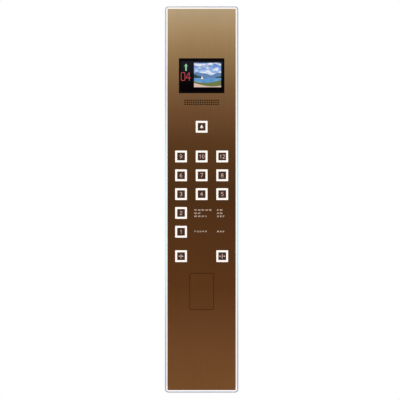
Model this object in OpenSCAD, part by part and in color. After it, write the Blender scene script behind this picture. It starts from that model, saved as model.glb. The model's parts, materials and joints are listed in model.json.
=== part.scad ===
// Lift car operating panel: a slim bronze faceplate in a pale mitred frame, on a back box in the car wall.
// The face looks towards -Y, +Z is up, and y = 0 is the surface of the car wall.
// The origin is the centre of the wall screw pattern. Sizes are in millimetres.

/* [Panel] */
// Width across the outer frame
panel_w = 250; // [246:2:300]
// Height across the outer frame
panel_h = 1315; // [1260:5:1500]
// How far the frame stands off the wall
frame_d = 15; // [14:0.5:20]
// Outer corner radius of the frame
corner_r = 10; // [6:0.5:14]
// Width of the metal rim, seen from the front
rim_w = 4.5; // [4:0.25:6]
// Width of the white light guide inside the rim
guide_w = 5; // [4:0.25:8]
// Depth of the light guide, front to back
guide_d = 4; // [3:0.2:5]
// Thickness of the lamp strip behind the light guide
strip_t = 0.6; // [0.4:0.1:0.8]
// Thickness of the faceplate sheet
face_t = 2; // [1.5:0.1:3]
// How far the faceplate sits back from the front of the rim
face_recess = 1; // [0.4:0.1:2]
// How far the light guide sits back from the front of the rim
guide_recess = 0.4; // [0.2:0.1:1]

/* [Frame rails] */
// Width of the ledge that carries the faceplate's edge
ledge_w = 11.5; // [11:0.5:14]
// Thickness of the ledge and of the web beside it
ledge_t = 2.5; // [2:0.1:3]
// Thickness of the rail's outer wall at the cleat channel
rail_wall = 2; // [1.5:0.1:2.5]
// Width of the channel that holds the corner cleats
channel_w = 4; // [3:0.5:5]
// Distance of the channel from the wall
channel_y = 2; // [1.5:0.25:3]
// Length of each leg of a corner cleat
cleat_leg = 30; // [20:1:40]
// Diameter of the faceplate's edge studs
stud_d = 4; // [3:0.5:5]
// Width of the edge studs' nuts, across the flats
nut_af = 7; // [6:0.5:7.5]
// Height of the edge studs' nuts
nut_h = 3.2; // [2.4:0.2:3.4]
// Number of edge studs on each long side, even, so that none stands before the middle wall screws
side_studs = 6; // [4:2:8]

/* [Heights, stacked up from the bottom edge] */
// Height of the control board's centre above the frame's bottom edge
board_rise = 165.5; // [150.5:1:170.5]
// From there up to the service door's centre
door_rise = 179; // [170:1:185]
// From there up to the door buttons
door_keys_rise = 120; // [110:1:125]
// From there up to the bottom row of floor buttons
bottom_row_rise = 83; // [60:1:90]
// From the top row up to the alarm button
alarm_rise = 101; // [60:1:110]
// From there up to the middle of the grille
grille_rise = 83; // [60:1:90]

/* [Back box] */
// Depth of the back box behind the wall surface
box_d = 45; // [44:1:80]
// Thickness of the steel sheet
sheet_t = 1.5; // [1.2:0.1:2]
// Distance of the tray's walls from the frame's outer edge
tray_inset = 27; // [26:0.5:30]
// Outer corner radius of the tray
tray_r = 4; // [2.5:0.5:8]
// Diameter of the wall screw holes
wall_hole_d = 4.6; // [4:0.1:6]
// Distance of the wall screw holes from the frame's outer edge
wall_hole_inset = 16; // [14:0.5:19]
// Width of the cable window in the tray's floor
cable_w = 70; // [40:1:100]
// Height of the cable window
cable_h = 35; // [25:1:50]
// Distance of the cable window's centre below the frame's top edge
cable_drop = 112.5; // [97.5:5:137.5]
// Distance of the hanging hooks, and of the studs above and below, from the centre line
hook_x = 60; // [45:1:75]
// Width of a hanging hook
hook_w = 24; // [16:1:30]
// Diameter of the two locking screws under the frame
lock_d = 3; // [2.5:0.5:4]
// Distance of the locking screws from the centre line
lock_x = 30; // [20:1:34]

/* [Display] */
// Distance of the display window's sides from the frame's outer edge
display_inset = 47.5; // [47:0.5:64]
// Height of the display window
display_h = 119; // [90:1:120]
// Width of the window's hidden edge behind the faceplate
window_lip = 5; // [3:0.5:5.5]
// Thickness of the screen's glass cell
cell_t = 2.2; // [1.5:0.1:3]
// Depth of the screen's metal frame
lcd_d = 9; // [7:0.5:14]
// Distance between the upper and the lower display clamps
clamp_pitch = 78; // [50:1:84]

/* [Speaker] */
// Number of holes in each row of the grille
grille_columns = 16; // [8:1:18]
// Number of rows in the grille
grille_rows = 3; // [1:1:4]
// Distance between the holes in a row
grille_pitch_x = 7.5; // [6:0.25:7.5]
// Distance between the rows
grille_pitch_z = 6.75; // [5:0.25:7.5]
// Diameter of a grille hole
grille_hole_d = 4.75; // [2:0.25:5]
// Side of the speaker's square flange
speaker_w = 48; // [44:1:50]
// Depth of the speaker's basket
speaker_d = 14; // [10:0.5:20]
// Diameter of the speaker's magnet
magnet_d = 28; // [22:1:32]
// Thickness of the speaker's magnet
magnet_t = 9; // [6:0.5:14]
// Distance of the microphone from the centre line
mic_x = 45; // [40:1:50]

/* [Buttons] */
// Side of a button's white surround
button_size = 40; // [36:0.5:42]
// Side of the key that is pressed
key_size = 25.6; // [22:0.2:27]
// Distance of the outer columns' centres from the frame's outer edge
column_inset = 55; // [54:1:62]
// Distance between the button rows
row_pitch = 64; // [60:1:66]
// How far the surround stands in front of the faceplate
halo_proud = 1.6; // [1:0.1:2.5]
// How far the key stands in front of the surround
key_proud = 0.5; // [0.2:0.1:1]
// Thickness of the key's metal plate
key_plate_t = 1.2; // [0.8:0.1:2]
// Length of the surround's neck, behind the faceplate's front
neck_d = 8; // [6:0.5:9]
// How far the key travels
key_travel = 1.5; // [0.5:0.1:2]
// Depth of a button's body, behind the faceplate
body_d = 19; // [17:0.5:24]
// Side of the square micro switch
switch_w = 12; // [10:0.5:14]
// Depth of the micro switch
switch_d = 6; // [4:0.5:6.5]

/* [Service door] */
// Width of the flush service door
door_w = 80; // [70:1:84]
// Height of the service door
door_h = 122; // [110:1:130]
// Gap round the door
door_gap = 1.2; // [0.9:0.1:1.6]
// Corner radius of the door
door_r = 4.5; // [1:0.5:6]
// Depth of the folded pan behind the door
pan_d = 6; // [4:0.5:7]
// Distance of the hinge axis outside the door's edge
hinge_offset = 18; // [16:0.5:20]
// Distance of the hinge axis behind the faceplate
hinge_inset = 5; // [5:0.1:5.5]
// Diameter of the hinge pins
pin_d = 4; // [3:0.25:4.5]
// Distance between the two swan-neck arms
arm_span = 72; // [50:1:76]
// Width of a swan-neck arm
arm_w = 3; // [2:0.25:3.5]
// Thickness of a swan-neck arm
arm_t = 3; // [2:0.25:4]
// Depth of the service box behind the faceplate
service_d = 52; // [50:0.5:53]
// Distance of the switch plate behind the faceplate
switch_plate_y = 30; // [28:0.5:30.5]
// Distance between the rocker switches
rocker_pitch = 24; // [18:0.5:25]
// Height of the rockers above the door's centre
rocker_z = 28; // [24:0.5:34]
// Width of a rocker
rocker_w = 10.5; // [8:0.25:12]
// Height of a rocker
rocker_h = 15.6; // [12:0.2:16]
// Angle between a rocker's two positions
rocker_throw = 20; // [10:1:24]
// Diameter of the key switch's barrel
barrel_d = 11; // [8:0.5:14]
// Distance of the key switch below the door's centre
key_switch_z = 28; // [24:0.5:34]
// Diameter of the latch's plunger
plunger_d = 5; // [4:0.25:6]

/* [Control board] */
// Width of the control board
board_w = 150; // [120:1:160]
// Height of the control board
board_h = 170; // [150:1:176]
// Thickness of every circuit board
pcb_t = 1.6; // [1:0.2:2]
// Height of the control board's standoffs
standoff_h = 8; // [5:0.5:12]

/* [Hidden] */
$fn = 48;

// clearances: pieces that fit together, pieces that slide, screws in their holes, pins that turn,
// flat pieces side by side, and a key against its stop
fit = 0.1;
slip = 0.3;
hole_play = 0.2;
running_play = 0.05;
side_play = 0.3;
end_play = 0.1;

// levels from front to back
frame_front = -frame_d;
face_y = frame_front + face_recess;
face_back = face_y + face_t;
guide_front = frame_front + guide_recess;
guide_back = guide_front + guide_d;
guide_seat = guide_back + strip_t;
ledge_back = face_back + ledge_t;
web_back = max(guide_seat, face_back) + ledge_t;
channel_front = -channel_y - channel_w;
floor_y = box_d - sheet_t;

// distances inwards from the frame's outer edge
face_u = rim_w + guide_w;
web_u = face_u + ledge_t;
ledge_u = face_u + ledge_w;
stud_u = (web_u + ledge_u) / 2;
flange_gap = 1;
flange_u = rim_w + flange_gap;
mitre_margin = 6;
rail_band = ledge_u + mitre_margin;

// the four sides of the frame, as (x, z) directions
LEFT = [-1, 0];
RIGHT = [1, 0];
TOP = [0, 1];
BOTTOM = [0, -1];

// stud rows on the long rails, kept clear of the corners
stud_end_inset = 95;
stud_end_z = panel_h / 2 - stud_end_inset;
side_stud_z = [for (i = [0 : side_studs - 1]) -stud_end_z + 2 * stud_end_z * i / (side_studs - 1)];
side_stud_at = [for (s = [-1, 1], z = side_stud_z) [s * (panel_w / 2 - stud_u), z]];
top_stud_at = [for (s = [-1, 1]) [s * hook_x, panel_h / 2 - stud_u]];
bottom_stud_at = [for (s = [-1, 1]) [s * hook_x, -panel_h / 2 + stud_u]];

// inner fasteners of the faceplate
small_stud_d = 3;
small_nut_af = 5.5;
small_nut_h = 2.4;
stud_tail = 1;

// hanging hooks and the lugs that they rest on
hook_t = 1.5;
hook_drop = 6;
hook_gap = 1.5;
hook_u = tray_inset + sheet_t + hook_gap;
hook_lip_y = 6.5;
lug_margin = 2;
lug_w = hook_w - 2 * lug_margin;
lug_depth = 14;

// locking screws
lock_head_d = lock_d + 3;
lock_head_t = (lock_head_d - lock_d) / 2;
lock_key_af = 2;
lock_key_depth = 1.2;
lock_block_w = 14;
lock_block_gap = 0.5;
lock_block_u = flange_u + lock_block_gap;
lock_block_h = 10;
lock_block_front = web_back + side_play;
lock_y = (lock_block_front - sheet_t) / 2;

// tray and its wall pattern
tray_w = panel_w - 2 * tray_inset;
tray_h = panel_h - 2 * tray_inset;
wall_hole_x = panel_w / 2 - wall_hole_inset;
wall_hole_z = panel_h / 2 - wall_hole_inset;
cable_z = panel_h / 2 - cable_drop;
trim_w = 4;
trim_t = 1.5;

// heights of what the faceplate carries, as z; the display follows below from the speaker's size
board_z = board_rise - panel_h / 2;
door_z = board_z + door_rise;
door_keys_z = door_z + door_keys_rise;
bottom_row_z = door_keys_z + bottom_row_rise;
row_count = 5;
alarm_z = bottom_row_z + (row_count - 1) * row_pitch + alarm_rise;
grille_z = alarm_z + grille_rise;

// display stack behind the faceplate
display_w = panel_w - 2 * display_inset;
window_flange_t = 2;
window_r = 1;
window_back = face_back + window_flange_t;
cell_front = window_back;
cell_margin = 3;
lcd_rim = 3;
lcd_w = display_w + 2 * (cell_margin + lcd_rim);
lcd_h = display_h + 2 * (cell_margin + lcd_rim);
lcd_back = cell_front + lcd_d;
boss_d = 7;
boss_h = 5;
display_board_margin = 20;
display_board_w = lcd_w - 2 * display_board_margin;
display_board_h = lcd_h - 2 * display_board_margin;
display_board_y = lcd_back + boss_h;
clamp_w = 12;
clamp_t = 1.5;
clamp_hold = 3;
clamp_boss_d = 7;
clamp_x = display_w / 2 + max(window_lip, cell_margin + lcd_rim) + clamp_boss_d / 2 + side_play;

// speaker and microphone behind the grille
mic_d = 9.7;
mic_t = 6.7;
mic_boot_d = 14;
mic_boot_t = 8;
cloth_t = 0.5;
cloth_margin = 5;
cloth_w = max(grille_columns * grille_pitch_x, 2 * mic_x + mic_boot_d) + cloth_margin;
cloth_h = speaker_w + 1;
speaker_gap = 1.5;
display_z = grille_z + cloth_h / 2 + speaker_gap + window_lip + display_h / 2;
clamp_at = [for (sx = [-1, 1], sz = [-1, 1]) [sx * clamp_x, display_z + sz * clamp_pitch / 2]];
cloth_back = face_back + cloth_t;
speaker_flange_t = 2;
speaker_back = cloth_back + speaker_d;
speaker_screw_x = speaker_w / 2 - 4.5;
speaker_at = [for (sx = [-1, 1], sz = [-1, 1]) [sx * speaker_screw_x, grille_z + sz * speaker_screw_x]];
basket_r = speaker_w / 2 - 3;
basket_wall = 1;
basket_back_r = magnet_d / 2 - 1;
basket_window_w = 12;
basket_ring = 2;
cone_t = 0.8;
cone_play = 1.1;
cone_r = basket_r - basket_wall - cone_play;
coil_r = magnet_d / 4;
coil_len = 5;
dust_cap_rise = 4;

// buttons
halo_lip = 3;
halo_r = 1.2;
halo_chamfer = 0.5;
key_chamfer = 0.4;
key_r = 0.8;
cutout = button_size - 2 * halo_lip;
neck_w = cutout - 2 * fit;
body_wall = 2;
body_w = neck_w + 2 * fit + 2 * body_wall;
barb_w = 8;
barb_len = 3;
barb_proud = 1.2;
key_bore = key_size + 2 * slip;
halo_front = face_y - halo_proud;
key_front = halo_front - key_proud;
neck_back = face_y + neck_d;
barb_front = neck_back - barb_len;
key_flange_w = key_bore + 3;
key_flange_t = 2;
key_wall = 2;
key_boss_d = 11;
key_stem_d = 4;
plunger_back = neck_back + end_play + key_flange_t;
body_back = face_back + body_d;
switch_front = body_back - switch_d;
stem_reach = 1.5;
led_w = 3.5;
led_h = 1.9;
plug_w = 12;
plug_h = 6;
plug_d = 5;

// every key's name and centre: three columns, five rows, the alarm above and the door keys below
column_x = panel_w / 2 - column_inset;
rows_z = [for (i = [row_count - 1 : -1 : 0]) bottom_row_z + i * row_pitch];
KEYS = [
    ["key_alarm", 0, alarm_z],
    ["key_9", -column_x, rows_z[0]], ["key_10", 0, rows_z[0]], ["key_12", column_x, rows_z[0]],
    ["key_6", -column_x, rows_z[1]], ["key_7", 0, rows_z[1]], ["key_8", column_x, rows_z[1]],
    ["key_3", -column_x, rows_z[2]], ["key_4", 0, rows_z[2]], ["key_5", column_x, rows_z[2]],
    ["key_2", -column_x, rows_z[3]],
    ["key_1", -column_x, rows_z[4]],
    ["key_open", -column_x, door_keys_z],
    ["key_close", column_x, door_keys_z]
];

// service door, its pan and its hinge; the bracket and the service box are of one sheet
service_t = 1.2;
pan_t = 1.5;
pan_inset = 2.5;
pan_back = face_back + pan_t;
pan_edge = face_back + pan_d;
pan_w = door_w - 2 * pan_inset;
pan_h = door_h - 2 * pan_inset;
pivot_x = -door_w / 2 - hinge_offset;
pivot_y = face_back + hinge_inset;
arm_clear = 1;
sweep_r = norm([hinge_offset - door_gap, pivot_y - face_y]);
arm_r = sweep_r + arm_clear;
hub_wall = 1.5;
hub_d = min(pin_d + 2 * hub_wall, 2 * (hinge_inset - hub_wall));
foot_w = 14;
foot_t = 2;
foot_x = pivot_x + arm_r - fit;
foot_len = 24;
ear_t = 1.5;
ear_w = hub_d + 1;
bracket_stud_inset = 5;
bracket_margin = 12;
bracket_edge = 2;
bracket_x = pivot_x - ear_w / 2 - 2 * bracket_stud_inset + 1;
bracket_w = pivot_x + ear_w / 2 + bracket_edge - bracket_x;
bracket_h = arm_span + 2 * bracket_margin;
bracket_stud_x = bracket_x + bracket_stud_inset;
bracket_stud_z = arm_span / 4;
pin_head_d = pin_d + 2;
pin_head_t = 1;

// service box and the switches in it
service_margin = 9;
service_x0 = bracket_x - 2;
service_x1 = door_w / 2 + 6;
service_w = service_x1 - service_x0;
service_x = (service_x0 + service_x1) / 2;
service_h = door_h + 2 * service_margin;
service_flange = 8;
service_back = face_back + service_d;
service_stud_inset = 12;
service_stud_z = door_h / 2 - service_stud_inset;
service_stud_out = service_t + service_flange / 2;
service_at = [for (x = [service_x0 - service_stud_out, service_x1 + service_stud_out], s = [-1, 1])
                 [x, door_z + s * service_stud_z]];
bracket_at = [for (s = [-1, 1]) [bracket_stud_x, door_z + s * bracket_stud_z]];
plate_y = face_back + switch_plate_y;
plate_t = 1.5;
pillar_d = 8;
pillar_inset = 7;
service_slot_w = 40;
service_slot_h = 14;
rocker_axis_y = plate_y + 2;
rocker_reach = 5.5;
rocker_dip = 3.6;
rocker_root = 3;
rocker_pivot_d = 2;
rocker_pivot_reach = 0.7;
rocker_bezel_w = rocker_w + 4.4;
rocker_bezel_h = rocker_h + 6;
rocker_bezel_t = 2;
rocker_wall = 1.1;
rocker_cavity_w = rocker_w + 0.4;
rocker_cavity_h = rocker_h + 2.4;
rocker_body_d = 18;
rocker_cavity_d = 7;
ROCKERS = [["rocker_left", -1], ["rocker_middle", 0], ["rocker_right", 1]];
lock_body_d = barrel_d + 5;
lock_flange_w = 4.5;
lock_flange_d = barrel_d + 2 * lock_flange_w;
lock_flange_t = 3;
barrel_proud = 0.8;
barrel_len = 16;
key_slot_w = 1.4;
key_slot_h = 7;
key_slot_depth = 10;
latch_inset = 9;
latch_x = door_w / 2 - latch_inset;
latch_w = 15;
latch_h = 14;
latch_front = pan_back + 7;
latch_tip_d = plunger_d + 3;
latch_tip_t = 3;
latch_gap = 0.3;
plunger_len = 18;
latch_bore_len = 17;

// control board and what stands on it
board_y = floor_y - standoff_h;
board_front = board_y - pcb_t;
board_hole_inset = 6;
board_hole_d = 3.4;
relay_size = [15, 16, 19];
relay_pitch = 18;
relay_count = 6;
terminal_size = [38, 12, 10];
terminal_inset = 3;
terminal_pitch = 66;
chip_w = 14;
chip_t = 1.4;
standoff_af = 6;
screw_d = 3;
screw_head_d = 5.6;
screw_head_t = 2;

// Extrusions: an (x, z) outline along Y, a (y, z) outline along X, an (x, y) outline along Z
module along_y(y0, y1) translate([0, y1, 0]) rotate([90, 0, 0]) linear_extrude(y1 - y0) children();
module along_x(x0, x1) translate([x0, 0, 0]) rotate([90, 0, 90]) linear_extrude(x1 - x0) children();
module along_z(z0, z1) translate([0, 0, z0]) linear_extrude(z1 - z0) children();

// A turned piece on the Y axis, from (radius, y) points
module turned(points) rotate([-90, 0, 0]) rotate_extrude() polygon(points);

// A round bar along Y
module bar_y(d, y0, y1) along_y(y0, y1) circle(d = d);

// Places in the panel's plane
module place(at) translate([at[0], 0, at[1]]) children();
module place_each(list) for (at = list) place(at) children();
module at_keys() for (k = KEYS) place([k[1], k[2]]) children();

// A rectangle with round corners, or square ones where the radius runs out
module rounded(w, h, r) {
    if (r > 0.05) {
        square([w - 2 * r, h], center = true);
        square([w, h - 2 * r], center = true);
        for (sx = [-1, 1], sy = [-1, 1])
            translate([sx * (w / 2 - r), sy * (h / 2 - r)]) circle(r);
    } else {
        square([w, h], center = true);
    }
}

// The panel's outline, taken in by u, and a band between two such outlines
module outline(u) rounded(panel_w - 2 * u, panel_h - 2 * u, corner_r - u);
module band(u0, u1) difference() {
    outline(u0);
    outline(u1);
}

// The tray's outline, taken in by a distance
module tray_outline(inset) rounded(tray_w - 2 * inset, tray_h - 2 * inset, tray_r - inset);

// A square tile with chamfered front edges and round corners
module chamfered_tile(size, front, back, chamfer, r) {
    half = size / 2;
    side = [[front, -half + chamfer], [front, half - chamfer], [front + chamfer, half],
            [back, half], [back, -half], [front + chamfer, -half]];
    intersection() {
        along_y(front, back) rounded(size, size, r);
        along_x(-half, half) polygon(side);
        along_z(-half, half) polygon([for (p = side) [p[1], p[0]]]);
    }
}

// Frame rails, cut from one section and mitred at the corners
module frame_section() {
    along_y(frame_front, web_back) band(0, rim_w);
    along_y(guide_seat, web_back) band(rim_w - fit, face_u + fit);
    along_y(face_back, web_back) band(face_u, web_u);
    along_y(face_back, ledge_back) band(face_u, ledge_u);
    along_y(web_back - fit, channel_front) band(0, rim_w);
    along_y(channel_front - fit, -channel_y + fit) band(0, rail_wall);
    along_y(-channel_y, 0) band(0, rim_w);
}

// One of the four mitred quarters of the frame's band, moved out a little where the strips need a joint
module mitre(side, joint = 0) {
    x = panel_w / 2;
    z = panel_h / 2;
    b = rail_band;
    translate(joint * side) scale([side[0] < 0 ? -1 : 1, side[1] < 0 ? -1 : 1])
        polygon(side[0] == 0 ? [[-x, z], [x, z], [x - b, z - b], [b - x, z - b]]
                             : [[x, -z], [x, z], [x - b, z - b], [x - b, b - z]]);
}

module rail(side, studs) color("#c3c8d2") difference() {
    intersection() {
        frame_section();
        along_y(frame_front, 0) mitre(side);
    }
    place_each(studs) bar_y(stud_d + 2 * hole_play, face_back - 1, ledge_back + 1);
    if (side == BOTTOM) for (s = [-1, 1]) lock_hole(s);
}

// The countersunk hole for a locking screw, through the bottom rail's outer wall
module lock_hole(s) translate([s * lock_x, lock_y, -panel_h / 2]) {
    translate([0, 0, -1]) cylinder(d = lock_d + 2 * hole_play, h = rim_w + 2);
    cylinder(d1 = lock_head_d + 2 * fit, d2 = lock_d + 2 * fit, h = lock_head_t);
}

// Angle pieces that slide in the rails' channels and pull the mitres together
module corner_cleats() color("silver") for (sx = [-1, 1], sz = [-1, 1])
    intersection() {
        along_y(channel_front + fit, -channel_y - fit) band(rail_wall + fit, rim_w - fit);
        place([sx * (panel_w / 2 - cleat_leg / 2), sz * (panel_h / 2 - cleat_leg / 2)])
            along_y(channel_front, 0) square(cleat_leg, center = true);
    }

// Four strips of white acrylic between the rim and the faceplate
module light_guides() color("#f2f6f8")
    frame_strips(rim_w + fit / 2, face_u - fit / 2, guide_front, guide_back);

// Thin lamp strips in the groove behind the light guides
module lamp_strips() color("#e9e4c8")
    frame_strips(rim_w + 2 * fit, face_u - 2 * fit, guide_back, guide_seat);

module frame_strips(u0, u1, y0, y1) for (side = [LEFT, RIGHT, TOP, BOTTOM]) intersection() {
    along_y(y0, y1) band(u0, u1);
    along_y(y0, y1) mitre(side, fit);
}

// The sheet that carries everything: display, grille, buttons and service door are cut out of it
module faceplate() color("#6b4526") along_y(face_y, face_back) difference() {
    outline(face_u + fit);
    translate([0, display_z]) rounded(display_w, display_h, window_r);
    translate([0, grille_z]) grille_holes();
    for (k = KEYS) translate([k[1], k[2]]) square(cutout, center = true);
    translate([0, door_z]) rounded(door_w + 2 * door_gap, door_h + 2 * door_gap, door_r + door_gap);
}

module grille_holes() for (i = [0 : grille_columns - 1], j = [0 : grille_rows - 1])
    translate([(i - (grille_columns - 1) / 2) * grille_pitch_x, (j - (grille_rows - 1) / 2) * grille_pitch_z])
        circle(d = grille_hole_d);

// Studs welded to the back of the faceplate
module weld_studs() color("silver") {
    place_each(concat(side_stud_at, bottom_stud_at)) bar_y(stud_d, face_back, ledge_back + nut_h + stud_tail);
    place_each(top_stud_at) bar_y(stud_d, face_back, ledge_back + hook_t + nut_h + stud_tail);
    place_each(clamp_at) bar_y(small_stud_d, face_back, lcd_back + clamp_t + small_nut_h + stud_tail);
    place_each(speaker_at)
        bar_y(small_stud_d, face_back, cloth_back + speaker_flange_t + small_nut_h + stud_tail);
    place_each(concat(service_at, bracket_at))
        bar_y(small_stud_d, face_back, face_back + service_t + small_nut_h + stud_tail);
}

module nut(af, h, bore, y) along_y(y, y + h) difference() {
    circle(d = af / cos(30), $fn = 6);
    circle(d = bore + 2 * running_play);
}

module stud_nuts() color("gainsboro") {
    place_each(concat(side_stud_at, bottom_stud_at)) nut(nut_af, nut_h, stud_d, ledge_back);
    place_each(top_stud_at) nut(nut_af, nut_h, stud_d, ledge_back + hook_t);
    place_each(clamp_at) nut(small_nut_af, small_nut_h, small_stud_d, lcd_back + clamp_t);
    place_each(speaker_at) nut(small_nut_af, small_nut_h, small_stud_d, cloth_back + speaker_flange_t);
    place_each(concat(service_at, bracket_at))
        nut(small_nut_af, small_nut_h, small_stud_d, face_back + service_t);
}

// Back box: a folded tray behind the wall's face, with hanging lugs near its top
module back_box() color("#b8bcbe") difference() {
    union() {
        along_y(-sheet_t, box_d) difference() {
            tray_outline(0);
            tray_outline(sheet_t);
        }
        along_y(floor_y, box_d) tray_outline(0);
        for (s = [-1, 1]) hanging_lug(s);
    }
    place([0, cable_z]) along_y(floor_y - 1, box_d + 1) rounded(cable_w, cable_h, tray_r);
}

// Flange frame welded round the tray's mouth, with the wall screws' holes and the two tapped blocks
module wall_flange() color("#b8bcbe") difference() {
    union() {
        along_y(-sheet_t, 0) difference() {
            outline(flange_u);
            tray_outline(0);
        }
        for (s = [-1, 1]) lock_block(s);
    }
    for (x = [-wall_hole_x, wall_hole_x], z = [-wall_hole_z, 0, wall_hole_z])
        place([x, z]) bar_y(wall_hole_d, -sheet_t - 1, 1);
    for (s = [-1, 1]) translate([s * lock_x, lock_y, -panel_h / 2 + lock_block_u - 1])
        cylinder(d = lock_d + 2 * running_play, h = lock_block_h + 2);
}

// A bent lug on the tray's floor: the hook rests on its upright lip
module hanging_lug(s) {
    lip_y1 = hook_lip_y - side_play;
    lip_y0 = lip_y1 - hook_t;
    seat_z = panel_h / 2 - hook_u - hook_t;
    foot_z = seat_z - lug_depth;
    along_x(s * hook_x - lug_w / 2, s * hook_x + lug_w / 2)
        polygon([[lip_y0, seat_z], [lip_y1, seat_z], [lip_y1, foot_z + hook_t], [floor_y, foot_z + hook_t],
                 [floor_y, foot_z], [lip_y0, foot_z]]);
}

module lock_block(s) translate([s * lock_x - lock_block_w / 2, lock_block_front, -panel_h / 2 + lock_block_u])
    cube([lock_block_w, -sheet_t - lock_block_front, lock_block_h]);

// Rubber edging round the cable window
module cable_trim() color("#26282a") place([0, cable_z]) difference() {
    along_y(floor_y - trim_t, box_d + trim_t)
        rounded(cable_w + 2 * trim_w, cable_h + 2 * trim_w, tray_r + trim_w);
    along_y(floor_y, box_d) difference() {
        rounded(cable_w + 3 * trim_w, cable_h + 3 * trim_w, tray_r);
        rounded(cable_w, cable_h, tray_r);
    }
    along_y(floor_y - 2 * trim_t, box_d + 2 * trim_t)
        rounded(cable_w - 2 * trim_t, cable_h - 2 * trim_t, tray_r - trim_t);
}

// Hooks on the top rail's studs, which drop over the back box's lugs
module hanging_hooks() color("silver") for (s = [-1, 1]) difference() {
    along_x(s * hook_x - hook_w / 2, s * hook_x + hook_w / 2) hook_outline();
    place([s * hook_x, panel_h / 2 - stud_u])
        bar_y(stud_d + 2 * hole_play, ledge_back - 1, ledge_back + hook_t + 1);
}

module hook_outline() {
    top_z = panel_h / 2 - web_u - fit;
    arm_z = panel_h / 2 - hook_u;
    leaf_y = ledge_back + hook_t;
    polygon([[ledge_back, top_z], [leaf_y, top_z], [leaf_y, arm_z], [hook_lip_y + hook_t, arm_z],
             [hook_lip_y + hook_t, arm_z - hook_t - hook_drop], [hook_lip_y, arm_z - hook_t - hook_drop],
             [hook_lip_y, arm_z - hook_t], [ledge_back, arm_z - hook_t]]);
}

// Countersunk screws from below, through the rail into the back box's tapped blocks
module lock_screws() color("silver") for (s = [-1, 1]) translate([s * lock_x, lock_y, -panel_h / 2])
    difference() {
        union() {
            cylinder(d = lock_d, h = lock_block_u + lock_block_h);
            cylinder(d1 = lock_head_d, d2 = lock_d, h = lock_head_t);
        }
        translate([0, 0, -1]) cylinder(d = lock_key_af / cos(30), h = 1 + lock_key_depth, $fn = 6);
    }

// Display: window, glass cell, metal frame, board and the clamps that hold them
module display_window() color("#15161a") place([0, display_z]) {
    along_y(face_y, window_back) rounded(display_w - 2 * fit, display_h - 2 * fit, window_r);
    along_y(face_back, window_back) rounded(display_w + 2 * window_lip, display_h + 2 * window_lip, window_r);
}

module lcd_screen() color("#0a0b0e") place([0, display_z]) along_y(cell_front, cell_front + cell_t)
    rounded(display_w + 2 * (cell_margin - fit), display_h + 2 * (cell_margin - fit), window_r);

module lcd_frame() color("#c9ccce") place([0, display_z]) {
    difference() {
        along_y(cell_front, lcd_back) rounded(lcd_w, lcd_h, window_r);
        along_y(cell_front - 1, cell_front + cell_t)
            rounded(display_w + 2 * cell_margin, display_h + 2 * cell_margin, window_r);
    }
    display_bosses() {
        bar_y(boss_d, lcd_back - fit, display_board_y);
        bar_y(screw_d, lcd_back, display_board_y + pcb_t);
    }
}

module display_bosses() for (sx = [-1, 1], sz = [-1, 1])
    place([sx * (display_board_w / 2 - boss_d), sz * (display_board_h / 2 - boss_d)]) children();

module display_board() color("#1f5a3a") place([0, display_z]) {
    back = display_board_y + pcb_t;
    difference() {
        along_y(display_board_y, back) square([display_board_w, display_board_h], center = true);
        display_bosses() bar_y(screw_d + 2 * hole_play, display_board_y - 1, back + 1);
    }
    along_y(back, back + chip_t) square(1.6 * chip_w, center = true);
    place([0, -display_board_h / 2 + plug_h])
        along_y(back, back + plug_d) square([3 * plug_w, plug_h], center = true);
}

// Each clamp is a tongue over the screen's frame, on a sleeve round its stud
module display_clamps() color("silver") for (at = clamp_at) {
    side = sign(at[0]);
    reach = clamp_x - (lcd_w / 2 - clamp_hold);
    place(at) difference() {
        union() {
            bar_y(clamp_boss_d, face_back, lcd_back + clamp_t);
            along_y(lcd_back, lcd_back + clamp_t)
                translate([-side * (reach - clamp_boss_d / 2) / 2, 0])
                    square([reach + clamp_boss_d / 2, clamp_w], center = true);
        }
        bar_y(small_stud_d + 2 * hole_play, face_back - 1, lcd_back + clamp_t + 1);
    }
}

// Speaker: dust cloth, basket with open windows, cone and magnet
module grille_cloth() color("#141312") place([0, grille_z]) along_y(face_back, cloth_back) difference() {
    rounded(cloth_w, cloth_h, 2);
    for (sx = [-1, 1], sz = [-1, 1]) translate([sx * speaker_screw_x, sz * speaker_screw_x])
        circle(d = small_stud_d + 2 * hole_play);
}

module speaker_basket() color("#3a3c3f") place([0, grille_z]) {
    bar_y(magnet_d, speaker_back, speaker_back + magnet_t);
    difference() {
        union() {
            along_y(cloth_back, cloth_back + speaker_flange_t) rounded(speaker_w, speaker_w, 4);
            turned([[0, cloth_back], [basket_r, cloth_back],
                    [basket_back_r, speaker_back], [0, speaker_back]]);
        }
        turned([[0, cloth_back - 1], [basket_r - basket_wall, cloth_back - 1],
                [basket_r - basket_wall, cloth_back],
                [basket_back_r - basket_wall, speaker_back - basket_wall],
                [0, speaker_back - basket_wall]]);
        for (a = [0, 90]) rotate([0, a, 0])
            along_y(cloth_back + speaker_flange_t + 1, speaker_back - basket_ring)
                square([speaker_w, basket_window_w], center = true);
        bar_y(2 * coil_r + 2 * slip, cloth_back, speaker_back + 1);
        for (sx = [-1, 1], sz = [-1, 1]) place([sx * speaker_screw_x, sz * speaker_screw_x])
            bar_y(small_stud_d + 2 * hole_play, cloth_back - 1, cloth_back + speaker_flange_t + 1);
    }
}

// A paper cone with its voice coil, and the dust cap in its middle
module speaker_cone() color("#1b1b1c") place([0, grille_z]) {
    mouth = cloth_back + side_play;
    neck = speaker_back - coil_len;
    turned([[cone_r - 1, mouth], [cone_r, mouth], [cone_r, mouth + cone_t], [coil_r, neck],
            [coil_r, speaker_back - side_play], [coil_r - cone_t, speaker_back - side_play],
            [coil_r - cone_t, neck - cone_t]]);
    turned([[0, neck - dust_cap_rise], [coil_r - cone_t, neck - cone_t], [coil_r - cone_t, neck],
            [0, neck - dust_cap_rise + cone_t]]);
}

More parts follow.
